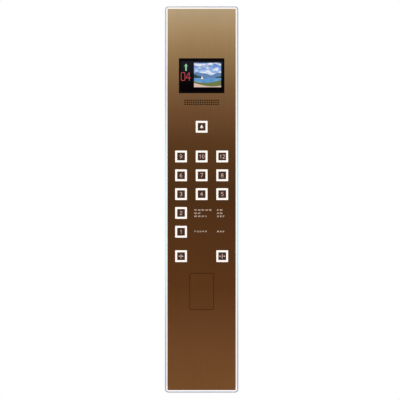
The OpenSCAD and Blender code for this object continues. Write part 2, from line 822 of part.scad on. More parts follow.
// Microphone capsule in its rubber boot
module microphone() place([mic_x, grille_z]) {
    color("#202224") along_y(cloth_back, cloth_back + mic_boot_t) difference() {
        circle(d = mic_boot_d);
        circle(d = mic_d + 2 * running_play);
    }
    color("silver") bar_y(mic_d, cloth_back, cloth_back + mic_t);
}

// Button surrounds: a white tile in front of the faceplate and a square neck through it
module button_halos() color("#fbfbf8") at_keys() difference() {
    union() {
        chamfered_tile(button_size, halo_front, face_y, halo_chamfer, halo_r);
        along_y(halo_front + halo_chamfer, neck_back) square(neck_w, center = true);
        neck_barbs();
    }
    along_y(halo_front - 1, neck_back + 1) rounded(key_bore, key_bore, key_r + slip);
}

// Snap barbs on the neck's two sides
module neck_barbs() for (s = [-1, 1]) along_z(-barb_w / 2, barb_w / 2)
    polygon([[s * neck_w / 2 - s, barb_front], [s * (neck_w / 2 + barb_proud), barb_front],
             [s * neck_w / 2, neck_back], [s * neck_w / 2 - s, neck_back]]);

// Bodies that grip the necks from behind, with windows for the barbs and a notch for the plug
module button_bodies() color("#25272a") at_keys() difference() {
    along_y(face_back, body_back) rounded(body_w, body_w, halo_r);
    along_y(face_back - 1, body_back + 1) square(neck_w + 2 * fit, center = true);
    along_y(barb_front, neck_back + slip) square([body_w + 2, barb_w + 2 * slip], center = true);
    place([0, -body_w / 2]) along_y(body_back - plug_d, body_back + 1)
        square([plug_w, 3 * body_wall], center = true);
}

// A key: its metal plate, and the hollow plunger with its flange and stem
module key_cap(at) place(at) {
    color("#4e3119") chamfered_tile(key_size, key_front, key_front + key_plate_t, key_chamfer, key_r);
    color("#2b2b2d") difference() {
        union() {
            along_y(key_front + key_plate_t, plunger_back) square(key_size - 2 * fit, center = true);
            along_y(plunger_back - key_flange_t, plunger_back) square(key_flange_w, center = true);
            bar_y(key_stem_d, key_front + key_plate_t, switch_front + stem_reach);
        }
        difference() {
            along_y(key_front + key_plate_t + key_wall, plunger_back + fit)
                square(key_size - 2 * fit - 2 * key_wall, center = true);
            bar_y(key_boss_d, key_front, plunger_back);
            bar_y(key_stem_d, key_front, plunger_back + 1);
        }
    }
}

// Silicone domes that push the keys back out
module return_pads() color("#d8dadb") at_keys()
    turned([[key_boss_d / 2 - 1.2, plunger_back], [key_boss_d / 2 - 0.3, plunger_back],
            [switch_w / 2 - 0.4, switch_front - 1], [switch_w / 2 - 0.4, switch_front],
            [switch_w / 2 - 1.6, switch_front], [switch_w / 2 - 1.6, switch_front - 1]]);

module button_switches() color("#404347") at_keys() difference() {
    along_y(switch_front, body_back) rounded(switch_w, switch_w, 1);
    bar_y(key_stem_d + 2 * slip, switch_front - 1, switch_front + stem_reach + key_travel + 1);
}

// A small board behind each button, with its lamps and its plug
module button_boards() color("#1f5a3a") at_keys() {
    along_y(body_back, body_back + pcb_t) rounded(body_w, body_w, halo_r);
    for (sx = [-1, 1], sz = [-1, 1]) place([sx * body_w / 3, sz * body_w / 3])
        along_y(body_back - led_h, body_back + fit) square(led_w, center = true);
    place([0, -body_w / 2 + plug_h / 2 + 1])
        along_y(body_back + pcb_t - fit, body_back + pcb_t + plug_d) square([plug_w, plug_h], center = true);
}

// Service box behind the door, with pillars for the switch plate
module service_box() color("#b8bcbe") place([service_x, door_z]) difference() {
    union() {
        along_y(face_back, face_back + service_t) service_outline(service_t + service_flange);
        along_y(face_back, service_back) service_outline(service_t);
    }
    difference() {
        along_y(face_back - 1, service_back - service_t) service_outline(0);
        for (sx = [-1, 1], sz = [-1, 1])
            place([sx * (service_w / 2 - pillar_inset), sz * (service_h / 2 - pillar_inset)])
                bar_y(pillar_d, plate_y + plate_t, service_back);
    }
    place([0, -service_h / 4]) along_y(service_back - 2 * service_t, service_back + 1)
        rounded(service_slot_w, service_slot_h, 3);
    for (at = service_at) place([at[0] - service_x, at[1] - door_z])
        bar_y(small_stud_d + 2 * hole_play, face_back - 1, face_back + service_t + 1);
}

module service_outline(out) square([service_w + 2 * out, service_h + 2 * out], center = true);

module switch_plate() color("#9a9ea2") along_y(plate_y, plate_y + plate_t) difference() {
    translate([service_x, door_z]) service_outline(-side_play);
    for (r = ROCKERS) translate([r[1] * rocker_pitch, door_z + rocker_z])
        square([rocker_cavity_w + 2 * rocker_wall + 2 * fit, rocker_cavity_h + 2 * rocker_wall + 2 * fit],
               center = true);
    translate([0, door_z - key_switch_z]) circle(d = lock_body_d + 2 * hole_play);
}

// Bodies of the rocker switches, each with its bezel and the cavity that the rocker swings in
module rocker_frames() color("#222426") for (r = ROCKERS) place([r[1] * rocker_pitch, door_z + rocker_z])
    difference() {
        union() {
            along_y(plate_y - rocker_bezel_t, plate_y) rounded(rocker_bezel_w, rocker_bezel_h, 1);
            along_y(plate_y - fit, plate_y + rocker_body_d)
                square([rocker_cavity_w + 2 * rocker_wall, rocker_cavity_h + 2 * rocker_wall], center = true);
        }
        along_y(plate_y - rocker_bezel_t - 1, plate_y + rocker_cavity_d)
            square([rocker_cavity_w, rocker_cavity_h], center = true);
        rocker_axle(rocker_cavity_w / 2 + rocker_wall + 1, rocker_pivot_d + 2 * running_play);
    }

module rocker_axle(half, d) along_x(-half, half) translate([rocker_axis_y, 0]) circle(d = d);

// A rocker, tilted to its first position
module rocker(column) color("#17181a") place([column * rocker_pitch, door_z + rocker_z]) {
    half = rocker_h / 2;
    along_x(-rocker_w / 2, rocker_w / 2) translate([rocker_axis_y, 0]) rotate(-rocker_throw / 2)
        polygon([[-rocker_reach, half], [-rocker_dip, 0], [-rocker_reach, -half], [0, -half],
                 [rocker_root, -rocker_root], [rocker_root, rocker_root], [0, half]]);
    rocker_axle(rocker_cavity_w / 2 + rocker_pivot_reach, rocker_pivot_d);
}

// Key switch: a flanged body through the switch plate, and the barrel that turns in it
module key_switch_body() color("#c4c7ca") place([0, door_z - key_switch_z]) difference() {
    union() {
        bar_y(lock_flange_d, plate_y - lock_flange_t, plate_y);
        bar_y(lock_body_d, plate_y - fit, plate_y + plate_t + barrel_len);
    }
    bar_y(barrel_d + 2 * running_play, plate_y - lock_flange_t - 1, plate_y - lock_flange_t + barrel_len);
}

module key_barrel() color("#dadcde") place([0, door_z - key_switch_z]) difference() {
    bar_y(barrel_d, plate_y - lock_flange_t - barrel_proud, plate_y - lock_flange_t + barrel_len - fit);
    along_y(plate_y - lock_flange_t - barrel_proud - 1, plate_y - lock_flange_t + key_slot_depth)
        square([key_slot_w, key_slot_h], center = true);
}

// Service door: the flush plate, and the folded pan behind it
module service_door() color("#6b4526") place([0, door_z])
    along_y(face_y, face_back) rounded(door_w, door_h, door_r);

module door_pan() color("#b8bcbe") place([0, door_z]) {
    along_y(face_back, pan_back) square([pan_w, pan_h], center = true);
    along_y(pan_back - fit, pan_edge) difference() {
        square([pan_w, pan_h], center = true);
        translate([-pan_t, 0]) square([pan_w, pan_h - 2 * pan_t], center = true);
    }
}

// Swan-neck arms: each passes behind the faceplate's edge and back to its pivot
module hinge_arms() color("#8f9396") for (s = [-1, 1]) translate([0, 0, door_z + s * arm_span / 2]) {
    along_z(-arm_t / 2, arm_t / 2) swan_neck();
    along_z(-foot_w / 2, foot_w / 2) translate([foot_x, pan_back]) square([foot_len, foot_t]);
}

module swan_neck() difference() {
    translate([pivot_x, pivot_y]) {
        circle(d = hub_d);
        translate([-arm_w / 2, 0]) square([arm_w, arm_r + arm_w / 2]);
        intersection() {
            difference() {
                circle(arm_r + arm_w);
                circle(arm_r);
            }
            translate([-arm_w / 2, pan_back - pivot_y]) square(2 * arm_r);
        }
    }
    translate([pivot_x, pivot_y]) circle(d = pin_d + 2 * running_play);
}

// Bracket behind the faceplate: a base on two studs and a pair of ears for each arm
module hinge_bracket() color("#8f9396") difference() {
    union() {
        along_y(face_back, face_back + service_t) translate([bracket_x, door_z - bracket_h / 2])
            square([bracket_w, bracket_h]);
        for (s = [-1, 1]) translate([0, 0, door_z + s * arm_span / 2]) ears();
    }
    place_each(bracket_at) bar_y(small_stud_d + 2 * hole_play, face_back - 1, face_back + service_t + 1);
}

module ears() for (e = [-1, 1]) translate([0, 0, e * (arm_t / 2 + side_play + ear_t / 2)])
    along_z(-ear_t / 2, ear_t / 2) difference() {
        union() {
            translate([pivot_x, pivot_y]) circle(d = ear_w);
            translate([pivot_x - ear_w / 2, face_back]) square([ear_w, hinge_inset]);
        }
        translate([pivot_x, pivot_y]) circle(d = pin_d + 2 * running_play);
    }

module hinge_pins() color("silver") for (s = [-1, 1])
    translate([pivot_x, pivot_y, door_z + s * arm_span / 2]) {
        half = arm_t / 2 + side_play + ear_t;
        translate([0, 0, -half - 1]) cylinder(d = pin_d, h = 2 * half + 1 + fit);
        translate([0, 0, half]) cylinder(d = pin_head_d, h = pin_head_t);
    }

// Touch latch: a body on the switch plate, and the plunger whose magnet holds the door
module latch_body() color("#2b2d30") place([latch_x, door_z]) difference() {
    along_y(latch_front, plate_y) translate([-plunger_d, -latch_h / 2])
        square([service_x1 - latch_x + plunger_d, latch_h]);
    bar_y(plunger_d + 2 * running_play, latch_front - 1, latch_front + latch_bore_len);
}

module latch_plunger() color("#d5d7d9") place([latch_x, door_z]) {
    tip = pan_back + latch_gap;
    bar_y(plunger_d, tip, tip + plunger_len);
    bar_y(latch_tip_d, tip, tip + latch_tip_t);
}

// Control board on the tray's floor: relays, pluggable terminals and a processor
module control_board() color("#1f5a3a") place([0, board_z]) {
    difference() {
        along_y(board_front, board_y) square([board_w, board_h], center = true);
        at_board_holes() bar_y(board_hole_d, board_front - 1, board_y + 1);
    }
    for (i = [0 : relay_count - 1]) place([(i - (relay_count - 1) / 2) * relay_pitch, board_h / 8])
        along_y(board_front - relay_size[1], board_front + fit)
            square([relay_size[0], relay_size[2]], center = true);
    for (sx = [-1, 1], sz = [-1, 1])
        place([sx * terminal_pitch / 2, sz * (board_h / 2 - terminal_size[2] / 2 - terminal_inset)])
            along_y(board_front - terminal_size[1], board_front + fit)
                square([terminal_size[0], terminal_size[2]], center = true);
    place([0, -board_h / 6]) along_y(board_front - chip_t, board_front + fit) square(chip_w, center = true);
}

module at_board_holes() for (sx = [-1, 1], sz = [-1, 1])
    place([sx * (board_w / 2 - board_hole_inset), sz * (board_h / 2 - board_hole_inset)]) children();

module board_standoffs() color("gold") place([0, board_z]) at_board_holes() {
    along_y(board_y, floor_y) circle(d = standoff_af / cos(30), $fn = 6);
    bar_y(screw_d, board_front - fit, board_y + fit);
    bar_y(screw_head_d, board_front - screw_head_t, board_front);
}

back_box();
wall_flange();
cable_trim();
rail(LEFT, side_stud_at);  // left_rail
rail(RIGHT, side_stud_at);  // right_rail
rail(TOP, top_stud_at);  // top_rail
rail(BOTTOM, bottom_stud_at);  // bottom_rail
corner_cleats();
light_guides();
lamp_strips();
faceplate();
weld_studs();
stud_nuts();
hanging_hooks();
lock_screws();
display_window();
lcd_screen();
lcd_frame();
display_board();
display_clamps();
grille_cloth();
speaker_basket();
speaker_cone();
microphone();
button_halos();
button_bodies();
button_switches();
button_boards();
return_pads();
for (k = KEYS) key_cap([k[1], k[2]]);
service_box();
switch_plate();
rocker_frames();
for (r = ROCKERS) rocker(r[1]);
key_switch_body();
key_barrel();
service_door();
door_pan();
hinge_arms();
hinge_bracket();
hinge_pins();
latch_body();
latch_plunger();
control_board();
board_standoffs();
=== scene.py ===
import json
import math

import bmesh
import bpy
import numpy as np
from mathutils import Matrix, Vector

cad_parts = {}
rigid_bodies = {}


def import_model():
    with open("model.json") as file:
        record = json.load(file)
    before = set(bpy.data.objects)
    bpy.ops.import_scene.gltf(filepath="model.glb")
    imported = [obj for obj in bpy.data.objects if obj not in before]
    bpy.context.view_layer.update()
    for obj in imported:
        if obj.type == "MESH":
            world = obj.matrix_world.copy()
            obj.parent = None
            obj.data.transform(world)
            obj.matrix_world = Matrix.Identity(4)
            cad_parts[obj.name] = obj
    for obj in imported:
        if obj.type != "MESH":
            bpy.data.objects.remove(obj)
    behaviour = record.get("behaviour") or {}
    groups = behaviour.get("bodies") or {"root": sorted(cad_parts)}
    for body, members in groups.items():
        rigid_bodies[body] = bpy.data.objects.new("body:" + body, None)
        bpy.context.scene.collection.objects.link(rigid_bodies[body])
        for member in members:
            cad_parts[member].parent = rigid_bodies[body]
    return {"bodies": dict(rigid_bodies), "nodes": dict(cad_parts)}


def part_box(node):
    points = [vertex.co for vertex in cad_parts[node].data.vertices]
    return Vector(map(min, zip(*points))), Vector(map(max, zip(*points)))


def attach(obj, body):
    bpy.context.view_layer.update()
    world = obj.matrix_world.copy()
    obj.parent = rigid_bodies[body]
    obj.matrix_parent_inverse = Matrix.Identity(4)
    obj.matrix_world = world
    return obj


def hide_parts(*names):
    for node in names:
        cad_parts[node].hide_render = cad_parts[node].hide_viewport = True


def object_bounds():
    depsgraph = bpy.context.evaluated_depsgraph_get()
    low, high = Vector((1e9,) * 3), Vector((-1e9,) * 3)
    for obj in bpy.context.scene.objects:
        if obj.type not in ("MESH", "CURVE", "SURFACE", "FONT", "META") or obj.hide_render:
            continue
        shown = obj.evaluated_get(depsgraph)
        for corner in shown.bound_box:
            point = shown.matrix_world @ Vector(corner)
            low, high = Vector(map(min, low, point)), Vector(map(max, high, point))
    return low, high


# Lift car operating panel. Sizes are in millimetres and colours in 0 to 255 display values.
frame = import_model()
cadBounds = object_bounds()
mm = 0.001
nodes = frame["nodes"]
print("frame loaded:", len(nodes), "nodes")


# Camera, square on to the panel: what one pixel of the photograph covers, and where its centre falls
camera = {"pixel": 3.4, "pixels": 400, "centreX": -5.6, "centreZ": -2.0, "distance": 3000, "reach": 50000}


def makeCamera(look):
    lens = bpy.data.cameras.new("camera")
    lens.type = "ORTHO"
    lens.ortho_scale = look["pixel"] * look["pixels"] * mm
    lens.clip_end = look["reach"] * mm
    eye = bpy.data.objects.new("camera", lens)
    eye.location = (look["centreX"] * mm, -look["distance"] * mm, look["centreZ"] * mm)
    eye.rotation_euler = (math.radians(90), 0, 0)
    bpy.context.scene.collection.objects.link(eye)
    bpy.context.scene.camera = eye


makeCamera(camera)


def middleOf(node):
    # x and z of the middle of a node's box
    low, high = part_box(node)
    return (low[0] + high[0]) / 2 / mm, (low[2] + high[2]) / 2 / mm


def halfSizeOf(node):
    low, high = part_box(node)
    return (high[0] - low[0]) / 2 / mm, (high[2] - low[2]) / 2 / mm


def linear(red, green, blue):
    # display values to the linear ones that sockets take
    shown = np.array([red, green, blue]) / 255
    flat = np.where(shown <= 0.04045, shown / 12.92, ((shown + 0.055) / 1.055) ** 2.4)
    return (*map(float, flat), 1.0)


def operator(kind, swapped=False):
    def method(self, *others):
        terms = (self, *others)[::-1] if swapped else (self, *others)
        made = self.finish.node("Math", dict(enumerate(terms)), operation=kind)
        return self.finish.value(made)
    return method


class Value:
    # a number in a material: the usual operators add Math nodes
    def __init__(self, finish, socket):
        self.finish = finish
        self.socket = socket

    __add__ = __radd__ = operator("ADD")
    __mul__ = __rmul__ = operator("MULTIPLY")
    __sub__ = operator("SUBTRACT")
    __rsub__ = operator("SUBTRACT", swapped=True)
    __truediv__ = operator("DIVIDE")
    __pow__ = operator("POWER")
    __abs__ = operator("ABSOLUTE")
    sine = operator("SINE")
    least = operator("MINIMUM")
    most = operator("MAXIMUM")

    def swing(self, amount):
        # how far a 0 to 1 value lies from its middle, times amount
        return (self - 0.5) * amount

    def above(self, edge, soft):
        # 0 below the edge and 1 above it, with a smooth step between
        inputs = {"Value": self - edge, "From Min": -soft, "From Max": soft}
        return self.finish.value(self.finish.node("MapRange", inputs, interpolation_type="SMOOTHSTEP"))

    def below(self, edge, soft):
        return 1 - self.above(edge, soft)

    def between(self, low, high, soft):
        return self.above(low, soft) * self.below(high, soft)


def colourOf(tone):
    return tone if isinstance(tone, bpy.types.NodeSocket) else linear(*tone)


class Finish:
    # the nodes of one material, or of the world
    def __init__(self, owner):
        owner.use_nodes = True
        self.owner = owner
        self.tree = owner.node_tree
        self.tree.nodes.clear()
        self.where = {}

    def node(self, kind, inputs=(), **settings):
        made = self.tree.nodes.new("ShaderNode" + kind)
        for key, value in settings.items():
            setattr(made, key, value)
        for key, value in dict(inputs).items():
            source = value.socket if isinstance(value, Value) else value
            if isinstance(source, bpy.types.NodeSocket):
                self.tree.links.new(source, made.inputs[key])
            else:
                made.inputs[key].default_value = source
        return made

    def value(self, node, output=0):
        return Value(self, node.outputs[output])

    def coordinates(self, along):
        # Object coordinates, or the piece's own UV map, in millimetres
        if along not in self.where:
            source = self.node("TexCoord").outputs[along]
            self.where[along] = self.shade(source, 1 / mm)
        return self.where[along]

    def place(self, axes, along="Object"):
        split = self.node("SeparateXYZ", {0: self.coordinates(along)})
        return [self.value(split, axis) for axis in axes]

    def stretched(self, perMm, along="Object"):
        inputs = {0: self.coordinates(along), 1: perMm}
        return self.node("VectorMath", inputs, operation="MULTIPLY").outputs[0]

    def noise(self, perMm, detail, rough=0.5, along="Object"):
        # 0 to 1, with this many features per millimetre along each axis
        vector = self.stretched(perMm, along)
        inputs = {"Vector": vector, "Scale": 1.0, "Detail": detail, "Roughness": rough}
        return self.value(self.node("TexNoise", inputs))

    def cells(self, perMm):
        # a random number for each cell
        inputs = {"Vector": self.stretched(perMm), "Scale": 1.0}
        colour = self.node("TexVoronoi", inputs).outputs["Color"]
        return self.value(self.node("SeparateColor", {0: colour}))

    def blend(self, factor, first, second):
        inputs = {0: factor, 6: colourOf(first), 7: colourOf(second)}
        return self.node("Mix", inputs, data_type="RGBA").outputs[2]

    def shade(self, colour, factor):
        plain = colour if isinstance(colour, bpy.types.NodeSocket) else linear(*colour)[:3]
        inputs = {0: plain, "Scale": factor}
        return self.node("VectorMath", inputs, operation="SCALE").outputs[0]

    def ramp(self, factor, stops):
        # stops are (position, tone)
        made = self.node("ValToRGB", {0: factor})
        elements = made.color_ramp.elements
        while len(elements) < len(stops):
            elements.new(1.0)
        for element, (position, tone) in zip(elements, stops):
            element.position = position
            element.color = linear(*tone)
        return made.outputs[0]

    def surface(self, look, colour, rough=None, height=None, glow=None, alpha=None):
        # rough is what varies the roughness, height feeds the bump, and glow is the colour given off
        inputs = {"Base Color": colourOf(colour), "Metallic": look.get("metal", 0.0),
                  "Roughness": look["roughness"] if rough is None else rough + look["roughness"],
                  "Emission Color": glow, "Emission Strength": None if glow is None else 1.0,
                  "Alpha": alpha, "Specular IOR Level": look.get("gloss")}
        if height is not None:
            made = self.node("Bump", {"Height": height, "Distance": look["depth"] * mm})
            inputs["Normal"] = made.outputs[0]
        given = {key: value for key, value in inputs.items() if value is not None}
        shader = self.node("BsdfPrincipled", given)
        self.node("OutputMaterial", {"Surface": shader.outputs[0]})
        return self.owner


def newFinish(name):
    return Finish(bpy.data.materials.new(name))


# In the dictionaries of the finishes a noise is (features per mm along x, y and z; detail; roughness), and an
# edge is (where it lies, how soft it is).

# Bronze sheet: the tone falls from champagne at the top to dark bronze and warms again towards the bottom, a
# painted reflection on bronze that is even in itself
bronze = {
    "tones": [(-655, (119, 79, 45)), (-520, (111, 71, 41)), (-300, (90, 54, 27)), (20, (76, 47, 24)),
              (190, (87, 57, 31)), (300, (107, 73, 46)), (365, (115, 85, 55)), (500, (143, 115, 78)),
              (570, (158, 131, 94)), (655, (174, 152, 119))],
    "hair": ((2.2, 0.7, 0.012), 3.0, 0.65), "hairTone": 0.22, "hairRoughness": 0.22, "depth": 0.012,
    "streak": ((0.32, 0.3, 0.0016), 3.0, 0.6), "streakTone": 0.15, "streakRoughness": 0.08,
    "cloud": ((0.008, 0.008, 0.004), 1.0), "cloudTone": 0.1, "roughness": 0.34, "metal": 1.0,
    # painted sheen: a lighter diagonal patch towards the top left
    "sheenTone": (206, 182, 146), "sheenShare": 0.13, "sheenSlope": 0.6,
    "sheenAcross": (470, 120), "sheenUp": (430, 160),
    # painted shade: the sheet darkens beside the left and right light guides
    "edgeTone": (58, 38, 22), "edgeShare": 0.35, "edge": (114.2, 0.9),
}


def bronzeFinish(finish, look):
    x, z = finish.place("XZ")
    low, high = look["tones"][0][0], look["tones"][-1][0]
    stops = [((height - low) / (high - low), tone) for height, tone in look["tones"]]
    # the ramp along the height is painted reflection
    tone = finish.ramp((z - low) / (high - low), stops)
    hair = finish.noise(*look["hair"])
    streak = finish.noise(*look["streak"])
    cloud = finish.noise(*look["cloud"])
    # painted sheen at the top left
    sheen = (z * look["sheenSlope"] - x).above(*look["sheenAcross"]) * z.above(*look["sheenUp"])
    # painted shade along the left and right edges
    edge = abs(x).above(*look["edge"])
    brushed = hair.swing(look["hairTone"]) + streak.swing(look["streakTone"])
    tone = finish.shade(tone, brushed + cloud.swing(look["cloudTone"]) + 1.0)
    tone = finish.blend(sheen * look["sheenShare"], tone, look["sheenTone"])
    tone = finish.blend(edge * look["edgeShare"], tone, look["edgeTone"])
    rough = hair.swing(look["hairRoughness"]) + streak.swing(look["streakRoughness"])
    return finish.surface(look, tone, rough, hair)


# Key bronze: the same sheet, darker and redder, satin, with a soft painted shade along its edge
keyLook = {
    "tone": (65, 40, 28), "edgeTone": (46, 27, 17), "lightTone": (73, 47, 34),
    "hair": ((3.0, 1.0, 0.05), 3.0, 0.6), "hairSwing": 0.2, "depth": 0.01,
    "cloud": ((0.035, 0.035, 0.05), 1.0), "cloudEdge": (0.5, 0.22),
    "edge": (11.8, 0.8), "edgeShare": 0.8, "roughness": 0.38, "metal": 0.9,
}


def keyFinish(finish, look):
    hair = finish.noise(*look["hair"])
    cloud = finish.noise(*look["cloud"])
    across, up = finish.place("XY", "UV")
    # painted shade within a millimetre of the key's edge
    edge = abs(across).most(abs(up)).above(*look["edge"])
    tone = finish.blend(cloud.above(*look["cloudEdge"]), look["tone"], look["lightTone"])
    tone = finish.blend(edge * look["edgeShare"], tone, look["edgeTone"])
    tone = finish.shade(tone, hair.swing(look["hairSwing"]) + 1.0)
    return finish.surface(look, tone, hair.swing(look["hairSwing"]), hair)


# Rim: satin anodised metal, brushed along each rail, with painted light: the left rail paler than the right,
# both
# darker towards their ends, and a painted highlight, paler, across the top and bottom
rim = {
    "leftTone": (218, 240, 249), "leftEndTone": (176, 183, 196),
    "rightTone": (187, 231, 246), "rightEndTone": (168, 178, 194), "crossTone": (212, 215, 221),
    "middle": -60, "ends": (290, 210), "right": (0, 40), "cross": (655.3, 1.2),
    "hair": ((0.01, 3.0, 1.0), 3.0, 0.6), "hairTone": 0.08, "hairRoughness": 0.2, "depth": 0.008,
    "level": 0.97, "roughness": 0.36, "metal": 0.85,
}


def rimFinish(finish, look):
    x, z = finish.place("XZ")
    hair = finish.noise(*look["hair"], along="UV")
    # painted light: darker towards the ends, and the left rail paler than the right
    ends = abs(z - look["middle"]).above(*look["ends"])
    left = finish.blend(ends, look["leftTone"], look["leftEndTone"])
    right = finish.blend(ends, look["rightTone"], look["rightEndTone"])
    tone = finish.blend(x.above(*look["right"]), left, right)
    # painted highlight across the outer edges of the top and bottom rails
    tone = finish.blend(abs(z).above(*look["cross"]), tone, look["crossTone"])
    tone = finish.shade(tone, hair.swing(look["hairTone"]) + look["level"])
    return finish.surface(look, tone, hair.swing(look["hairRoughness"]), hair)


# Light guides: opal strips, faintly blue along the middle of the panel and warmer beside the champagne top, a
# painted reflection; the inner edge gets painted shade on the left and painted bronze reflection on the right
guideLook = {
    "tone": (232, 245, 248), "endTone": (236, 235, 236), "middle": -30, "ends": (260, 220),
    "warmTone": (250, 238, 222), "warmShare": 0.6, "warm": (560, 110),
    "leftEdge": (118, 88, 62), "rightEdge": (225, 175, 120), "right": (114, 1),
    "edge": (8.75, 0.15), "edgeUpTo": (470, 120),
    # painted light: the glow grows towards the bottom and at both ends, beyond the even glow of the lamp
    # strips
    "glow": 0.09, "lowGlow": 0.16, "low": (-420, 260),
    "topGlow": 0.06, "top": (637, 10), "bottomGlow": 0.22, "bottom": (-637, 10),
    "grain": ((0.9, 0.9, 0.9), 1.0), "grainSwing": 0.1, "depth": 0.01,
    "cloud": ((0.01, 0.01, 0.006), 1.0), "cloudTone": 0.04, "roughness": 0.42, "gloss": 0.3,
}


def opalFinish(finish, look):
    x, z = finish.place("XZ")
    grain = finish.noise(*look["grain"])
    cloud = finish.noise(*look["cloud"])
    ends = abs(z - look["middle"]).above(*look["ends"])
    tone = finish.blend(ends, look["tone"], look["endTone"])
    # painted warm reflection beside the champagne top
    tone = finish.blend(z.above(*look["warm"]) * look["warmShare"], tone, look["warmTone"])
    tone = finish.shade(tone, cloud.swing(look["cloudTone"]) + 1.0)
    inwards = (cadBounds[1][0] / mm - abs(x)).least(cadBounds[1][2] / mm - abs(z))
    # painted shade on the left inner edge and a painted reflection of the bronze on the right
    edge = finish.blend(x.above(*look["right"]), look["leftEdge"], look["rightEdge"])
    tone = finish.blend(inwards.above(*look["edge"]) * z.below(*look["edgeUpTo"]), tone, edge)
    # painted light, growing towards the bottom and at both ends
    glow = z.below(*look["bottom"]) * look["bottomGlow"] + z.above(*look["top"]) * look["topGlow"]
    lit = finish.shade(tone, z.below(*look["low"]) * look["lowGlow"] + glow + look["glow"])
    return finish.surface(look, tone, grain.swing(look["grainSwing"]), grain, lit)


# Moulded plastic, rubber, powder coat and print: fine spark-eroded grain and a slight flow pattern. Each row
# is tone, roughness, grains per mm, their depth, how far the tone varies and the share of it given off.
moulded = {"detail": 2.0, "flow": ((0.03, 0.03, 0.012), 2.0), "grainRoughness": 0.18}
mouldedRows = {
    "white_plastic": ((255, 248, 241), 0.4, 0.8, 0.01, 0.02, 0.09),
    # painted light: the share given off by the signs and the print, which are no lamps
    "sign_white": ((244, 214, 198), 0.4, 0.9, 0.01, 0.04, 0.06),
    "bell_white": ((250, 234, 222), 0.4, 0.9, 0.01, 0.04, 0.1),
    "print_pale": ((222, 198, 178), 0.5, 1.2, 0.005, 0.1, 0.1),
    "black_metal": ((42, 44, 47), 0.4, 0.5, 0.03),
    # dark coats, also dark enough to paint the shade seen through the gap round the service door
    "black_coat_and_shade": ((30, 20, 14), 0.66, 0.9, 0.06, 0.12),
    "dark_coat_and_shade": ((62, 48, 40), 0.6, 0.9, 0.06, 0.12),
    "black_plastic": ((34, 35, 38), 0.5, 2.2, 0.03),
    "silicone": ((206, 210, 212), 0.55, 0.6, 0.01),
    "black_rubber": ((36, 37, 39), 0.75, 1.2, 0.04),
}


def mouldedFinish(finish, look, tone, roughness, perMm, depth, variation=0.06, glow=None):
    grain = finish.noise((perMm,) * 3, look["detail"])
    flow = finish.noise(*look["flow"])
    colour = finish.shade(tone, flow.swing(variation * 2) + grain.swing(variation) + 1.0)
    # the light given off is painted light for the signs and the print
    lit = None if glow is None else finish.shade(colour, glow)
    look = {**look, "roughness": roughness, "depth": depth}
    return finish.surface(look, colour, grain.swing(look["grainRoughness"]), grain, lit)


# Hot-dip zinc: flat crystals, each with its own tone, and faint rolling marks
zinc = {
    "tone": (184, 188, 190), "crystalPerMm": (1 / 7, 1 / 7, 0.8 / 7), "crystalTone": 0.24,
    "crystalRoughness": 0.16, "wander": ((0.12, 0.12, 0.12), 2.0), "wanderTone": 0.14,
    "roll": ((0.9, 0.9, 0.01), 2.0), "rollTone": 0.06, "depth": 0.01, "roughness": 0.46, "metal": 0.8,
}


def zincFinish(finish, look):
    wander = finish.noise(*look["wander"])
    crystal = finish.cells(look["crystalPerMm"])
    roll = finish.noise(*look["roll"])
    factor = crystal.swing(look["crystalTone"]) + wander.swing(look["wanderTone"])
    colour = finish.shade(look["tone"], factor + roll.swing(look["rollTone"]) + 1.0)
    return finish.surface(look, colour, crystal.swing(look["crystalRoughness"]), roll)


# Bright plating: a faint second colour in patches, and fine drawing lines. Each row is the two tones and the
# roughness.
plating = {
    "patch": ((0.05, 0.05, 0.05), 2.0), "patchEdge": (0.5, 0.2),
    "line": ((4.0, 4.0, 0.3), 2.0), "lineTone": 0.12, "lineRoughness": 0.14, "depth": 0.005, "metal": 1.0,
}
platedRows = {
    "zinc_steel": ((196, 199, 204), (206, 202, 190), 0.34),
    "chrome_metal": ((222, 224, 227), (214, 218, 226), 0.14),
    "brass_metal": ((206, 172, 98), (190, 150, 82), 0.3),
}


def platedFinish(finish, look, tone, second, roughness):
    patch = finish.noise(*look["patch"])
    line = finish.noise(*look["line"])
    colour = finish.blend(patch.above(*look["patchEdge"]), tone, second)
    colour = finish.shade(colour, line.swing(look["lineTone"]) + 1.0)
    look = {**look, "roughness": roughness}
    return finish.surface(look, colour, line.swing(look["lineRoughness"]), line)


# Screen: a plain floor number, an arrow and a landscape of hills by a lake, all worked out from the place
screen = {
    "picture": {"left": -26, "right": 66, "bottom": 381.5, "top": 464.5, "soft": 0.25},
    "blackTone": (8, 4, 7), "greyTone": (28, 28, 35), "greyFrom": (420, 40), "greyUpTo": (471, 2),
    "arrow": {"x": -53.2, "top": 461.5, "bottom": 437.5, "headFoot": 452.07, "slope": 0.85, "shaft": 2.5,
              "shaftTop": 455.5, "soft": 0.3, "core": (2.4, 2.4), "tone": (66, 150, 88),
              "coreTone": (178, 222, 182)},
    "number": {"left": -69.5, "right": -56.9, "cut": 2.52, "second": -53.5, "foot": -42.2, "end": -37.5,
               "bottom": 404.5, "top": 431.5, "crossing": 413.14, "stroke": 1.7, "core": (0.75, 0.25),
               "tone": (170, 36, 44), "coreTone": (222, 92, 90)},
    "pixelsPerMm": 12.6, "pixelTone": 0.05, "brightness": 0.93, "roughness": 0.3, "gloss": 0.0,
}
